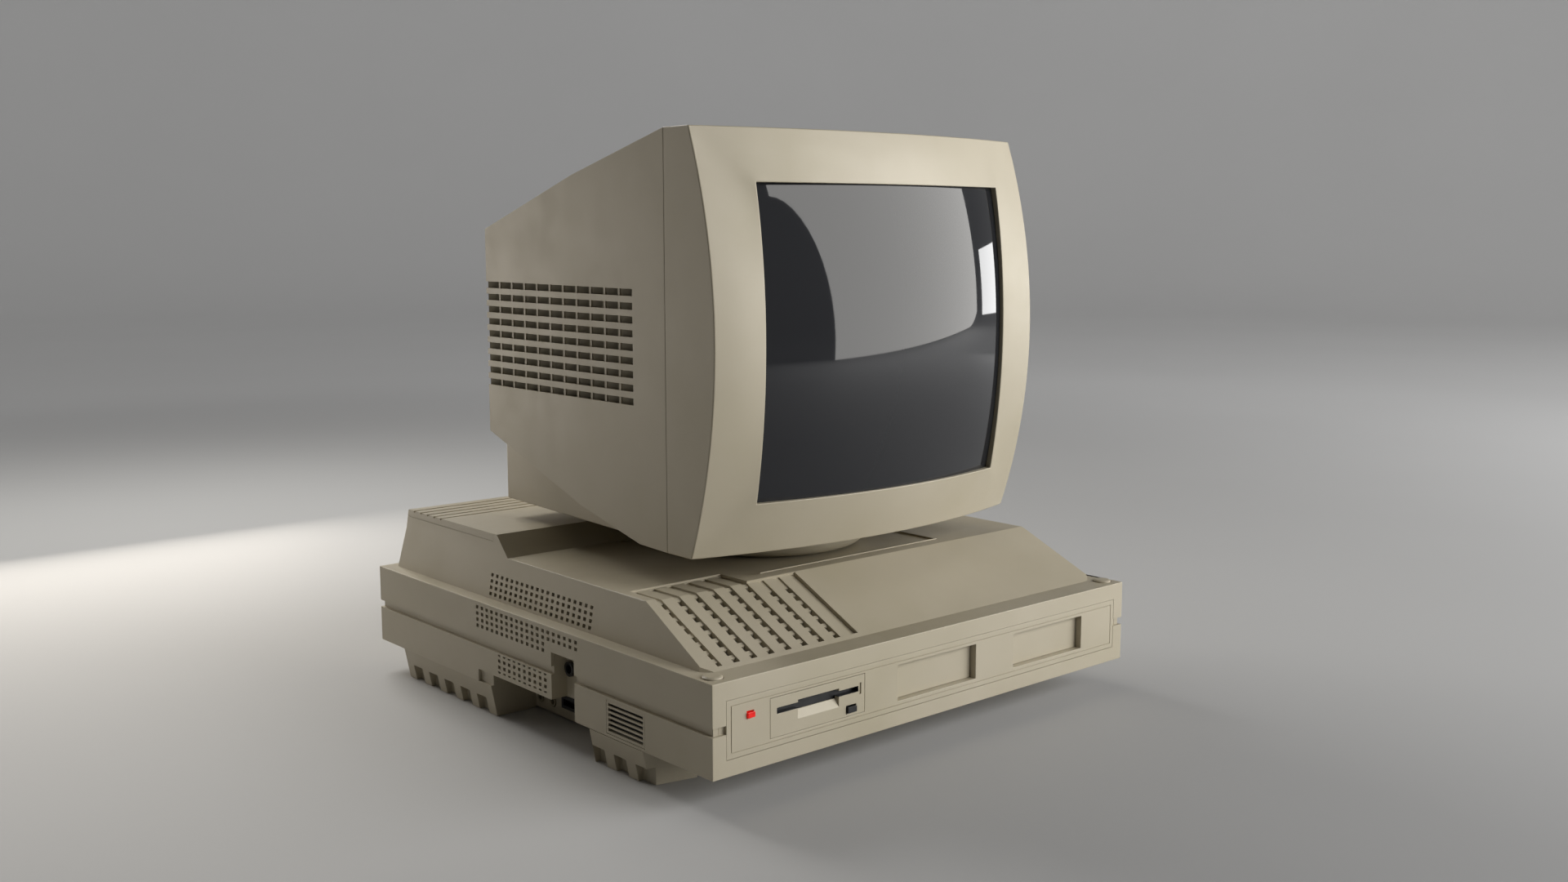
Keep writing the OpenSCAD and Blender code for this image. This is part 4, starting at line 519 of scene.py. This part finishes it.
VENT_Y = (180.26 + CASE_FRONT, 415.89 + CASE_FRONT)
VENT_LOW = 294.5
VENT_PITCH = 11.484
VENT_HEIGHT = 6.09
VENT_ROWS = 9
VENT_CELLS = 11
HALF_RIB = 1.5
# How far behind the wall a vane lies at its rear and front ends
VANE_REAR = 1.2
VANE_FRONT = 14.0
VANE_THICK = 1.2
VANE_LAP = 0.2


def vent_vanes():
    """In each cell of the slots a vane that slants in towards the front: near the wall at its rear end, deep inside
    at its front end."""
    made = bmesh.new()
    cell = (VENT_Y[1] - VENT_Y[0]) / VENT_CELLS
    for side in (-1, 1):
        for row in range(VENT_ROWS):
            low = VENT_LOW + row * VENT_PITCH - VANE_LAP
            high = low + VENT_HEIGHT + 2 * VANE_LAP
            for i in range(VENT_CELLS):
                front = VENT_Y[0] + i * cell + (HALF_RIB if i else 0.0)
                rear = VENT_Y[0] + (i + 1) * cell + (HALF_RIB if i < VENT_CELLS - 1 else -HALF_RIB)
                plan = [(VANE_REAR, rear), (VANE_FRONT, front), (VANE_FRONT + VANE_THICK, front),
                        (VANE_REAR + VANE_THICK, rear)]
                add_prism(made, [(side * (MONITOR_HALF_WIDTH - deep), y) for deep, y in plan], low, high)
    return mesh_of(made, "vent_vanes")


added("vent_vanes", vent_vanes(), "monitor_housing", "moulded_beige")


# Monitor front: bowed frame and tube face

OUTER = (MONITOR_HALF_WIDTH, (MONITOR_HIGH - MONITOR_LOW) / 2)
OPENING = (144.0, 130.0)
# Depths behind the case front, at the middle and at the ends of the upright and of the level members
DEPTH_OUTER = {"side": (70.7, 102.5), "level": (72.3, 102.5)}
DEPTH_OPENING = {"side": (63.4, 75.5), "level": (57.9, 75.5)}
CROWN = 1.2
LIP_DEPTH = 7.5
SEAM_LAP = 0.05
STEPS_ALONG = 40
STEPS_ACROSS = 6
FACE_HALF = (149.0, 135.0)
FACE_DEPTH = 46.8
FACE_FALL = (20.6, 14.2)
FACE_STEPS = 48


def bow(t, middle, end):
    """Depth along a bowed edge: middle at t = 0, end at t = -1 and 1."""
    return middle + (end - middle) * t * t


def front_point(kind, sign, t, s):
    """A point of the front of one of the four members: t runs along it, s from the outer edge to the opening."""
    outer = bow(t, *DEPTH_OUTER[kind])
    inner = bow(t, *DEPTH_OPENING[kind])
    crown = CROWN * math.sin(math.pi * s)
    depth = outer + (inner - outer) * s - crown * (1 - t * t)
    across = OUTER[0] + (OPENING[0] - OUTER[0]) * s
    upward = OUTER[1] + (OPENING[1] - OUTER[1]) * s
    x, z = (sign * across, t * upward) if kind == "side" else (t * across, sign * upward)
    return Vector((x, depth + CASE_FRONT, z + MONITOR_MID)) * MM


def screen_frame():
    """The front moulding of the monitor: four bowed members that meet in mitres, a lip round the screen and the
    side walls back to the seam."""
    made = bmesh.new()
    seam = (SEAM + SEAM_LAP) * MM
    for kind, sign in (("side", -1), ("side", 1), ("level", -1), ("level", 1)):
        rows = []
        for j in range(STEPS_ALONG + 1):
            t = -1 + 2 * j / STEPS_ALONG
            line = [front_point(kind, sign, t, i / STEPS_ACROSS) for i in range(STEPS_ACROSS + 1)]
            lip = line[-1] + Vector((0, LIP_DEPTH * MM, 0))
            edge = line[0]
            wall = [Vector((edge.x, edge.y + (seam - edge.y) * k / 3, edge.z)) for k in (3, 2, 1)]
            rows.append([made.verts.new(p) for p in wall + line + [lip]])
        skin(made, rows)
    bmesh.ops.remove_doubles(made, verts=made.verts, dist=0.01 * MM)
    return with_edges(mesh_of(made, "screen_frame", smooth=True), 1.1, segments=3, angle=25)


def tube_face():
    """The polished face of the picture tube: one smooth dome, drawn a little past the opening all round."""
    made = bmesh.new()
    rows = []
    steps = [-1 + 2 * i / FACE_STEPS for i in range(FACE_STEPS + 1)]
    for v in steps:
        z = v * FACE_HALF[1]
        row = []
        for u in steps:
            x = u * FACE_HALF[0]
            depth = FACE_DEPTH + FACE_FALL[0] * (x / OPENING[0]) ** 2 + FACE_FALL[1] * (z / OPENING[1]) ** 2
            row.append(made.verts.new(Vector((x, depth + CASE_FRONT, z + MONITOR_MID)) * MM))
        rows.append(row)
    skin(made, rows)
    return mesh_of(made, "tube_face", smooth=True)


put("screen_frame", screen_frame(), "monitor_bezel")
put("tube_face", tube_face(), "crt_tube")


# Round dish of the swivel

DISH_LOW = 146.4
DISH_RADIUS = 95.0
RIM_CURL = 15.0
RIM_CURL_HEIGHT = 11.25
RIM_TOP = DISH_LOW + 12.5


def quarter(steps):
    """(sine, 1 - cosine) pairs over a quarter turn."""
    return [(math.sin(math.pi / 2 * i / steps), 1 - math.cos(math.pi / 2 * i / steps)) for i in range(steps + 1)]


def swivel_dish():
    """The dish, turned about the pivot: its rim curls in below, and its middle carries the seat."""
    outline = [(0.05, DISH_LOW)]
    outline += [(DISH_RADIUS - RIM_CURL + RIM_CURL * out, DISH_LOW + RIM_CURL_HEIGHT * up) for out, up in quarter(8)]
    outline += [(DISH_RADIUS, RIM_TOP), (DISH_RADIUS - 3, RIM_TOP), (DISH_RADIUS - 5, DISH_LOW + 8),
                (DISH_RADIUS - 14, DISH_LOW + 4), (52, DISH_LOW + 4), (50, DISH_LOW + 12), (47, DISH_LOW + 12),
                (30, DISH_LOW + 7.4), (0.05, DISH_LOW + 4.3)]
    made = bmesh.new()
    rings = rings_round(made, outline, PIVOT)
    skin(made, rings + rings[:1], ring=True)
    bmesh.ops.remove_doubles(made, verts=made.verts, dist=0.001 * MM)
    return with_edges(mesh_of(made, "swivel_dish_turned", smooth=True), 0.5, angle=40)


put("swivel_dish_turned", swivel_dish(), "swivel_dish")


# Floor, backdrop and reflector card

FLOOR_RADIUS = 9000.0
FLOOR_CURVE = 2500.0
WALL_HEIGHT = 5000.0
# The lift starts and is full at these distances from the object's middle, in metres
LIFT_START = 0.8
LIFT_FULL = 3.2
LIFT = 0.14


def matt_paint(name):
    """Matt painted studio floor and wall: pale, and even but for faint patches of about a metre. The far floor and
    wall get little lamp light, so what the camera, metal and glass see of them is lifted, and the object gets no
    more light."""
    made, tree, shader, place = new_material(name, Roughness=0.75, Emission_Color=linear("#ffffff"))
    patches = add(tree, "ShaderNodeTexNoise", Vector=place, Scale=per_mm(1111), Detail=3.0)
    tint = add(tree, "ShaderNodeValToRGB", stops=[(0.3, "#b6b6b6"), (0.7, "#bababa")], Fac=patches.outputs["Fac"])
    away = add(tree, "ShaderNodeVectorMath", {"operation": "LENGTH"}, i0=place)
    level = add(tree, "ShaderNodeMapRange", {"interpolation_type": "SMOOTHSTEP"}, Value=away.outputs["Value"],
                From_Min=LIFT_START, From_Max=LIFT_FULL, To_Min=0.0, To_Max=LIFT)
    seen = add(tree, "ShaderNodeLightPath")
    mirrored = add(tree, "ShaderNodeMath", {"operation": "ADD"},
                   i0=seen.outputs["Is Glossy Ray"], i1=seen.outputs["Is Transmission Ray"])
    shown = add(tree, "ShaderNodeMath", {"operation": "ADD", "use_clamp": True},
                i0=seen.outputs["Is Camera Ray"], i1=mirrored.outputs["Value"])
    lift = add(tree, "ShaderNodeMath", {"operation": "MULTIPLY"},
               i0=level.outputs["Result"], i1=shown.outputs["Value"])
    set_sockets(tree, shader, Base_Color=tint.outputs["Color"], Emission_Strength=lift.outputs["Value"])
    return made


def lit_paper(name, level):
    """White paper of a reflector card, lit evenly: only mirrors and gloss see it."""
    made, tree = empty_material(name)
    paper = add(tree, "ShaderNodeEmission", Color=linear("#fffdf9"), Strength=level)
    add(tree, "ShaderNodeOutputMaterial", Surface=paper.outputs["Emission"])
    return made


def stage_piece(name, mesh, finish):
    """An object of the stage, in one material."""
    piece = bpy.data.objects.new(name, mesh)
    SCENE.collection.objects.link(piece)
    mesh.materials.append(finish)
    return piece


def sweep(radius, curve, height):
    """A round floor that curves up into a wall on every side, in millimetres."""
    outline = [(20.0, 0.0), (1200.0, 0.0)]
    outline += [(radius - curve + curve * out, curve * up) for out, up in quarter(16)] + [(radius, height)]
    made = bmesh.new()
    rings = rings_round(made, outline)
    skin(made, rings, ring=True)
    made.faces.new(list(reversed(rings[0])))
    return stage_piece("studio_sweep", mesh_of(made, "studio_sweep", smooth=True), matt_paint("paint_matt_pale"))


def reflector_card(place_y, left, right, high, corner, level):
    """A wide card on the floor in front of the object, its lower left corner cut to a long curve, in metres."""
    outline = [(left + corner[0] * (1 - up), corner[1] * out) for out, up in quarter(12)]
    outline += [(left, high), (right, high), (right, 0.0)]
    made = bmesh.new()
    made.faces.new([made.verts.new((x, place_y, z)) for x, z in outline])
    card = stage_piece("reflector_card", mesh_of(made, "reflector_card"), lit_paper("paper_white_reflector", level))
    card.visible_camera = card.visible_diffuse = card.visible_shadow = False
    return card


sweep(FLOOR_RADIUS, FLOOR_CURVE, WALL_HEIGHT)
reflector_card(place_y=-2.6, left=0.45, right=7.0, high=3.4, corner=(0.62, 1.4), level=4.2)


# Lamps: place and aim in metres, size in metres, power in watts, tint

LAMPS = {
    "key_panel": ((3.05, -2.7, 1.35), (3.05, 0.0, 1.35), (5.4, 1.9), 208, "#ffffff"),
    "side_window": ((3.0, -0.76, 0.50), (0.0, -0.2, 0.45), (0.62, 0.46), 6.6, "#ffffff"),
    "low_rear_panel": ((-0.42, 1.07, 0.36), (-0.42, 0.0, 0.36), (0.9, 0.55), 4.6, "#fff6ea"),
    "high_rear_panel": ((-0.20, 1.30, 1.25), (-0.40, 0.2, 0.0), (0.9, 0.7), 16, "#fffdf8"),
}
# The glass shows the card in place of the key panel
NOT_MIRRORED = ("key_panel",)

for name, (place, aim, size, power, tint) in LAMPS.items():
    panel = bpy.data.lights.new(name, "AREA")
    panel.shape = "RECTANGLE"
    panel.size, panel.size_y = size
    panel.energy = power
    panel.color = linear(tint)[:3]
    lamp = bpy.data.objects.new(name, panel)
    SCENE.collection.objects.link(lamp)
    lamp.location = place
    lamp.rotation_euler = (Vector(aim) - Vector(place)).to_track_quat("-Z", "Y").to_euler()
    lamp.visible_camera = False
    lamp.visible_glossy = name not in NOT_MIRRORED

world = bpy.data.worlds.new("studio_air")
SCENE.world = world
world.use_nodes = True
set_sockets(world.node_tree, world.node_tree.nodes["Background"], Color=linear("#d3cec6"), Strength=0.12)


# Camera, from the straight edges of the case in the photograph

CAMERA_PLACE = (-938.2, -1128.2, 444.8)
YAW = 0.72107
PITCH = 0.14044
eye = bpy.data.cameras.new("photo_view")
eye.sensor_width = 36.0
eye.lens = 35.0
camera = bpy.data.objects.new("photo_view", eye)
SCENE.collection.objects.link(camera)
camera.location = Vector(CAMERA_PLACE) * MM
look = Vector((math.sin(YAW) * math.cos(PITCH), math.cos(YAW) * math.cos(PITCH), -math.sin(PITCH)))
camera.rotation_euler = look.to_track_quat("-Z", "Y").to_euler()
SCENE.camera = camera
SCENE.view_settings.view_transform = "Standard"
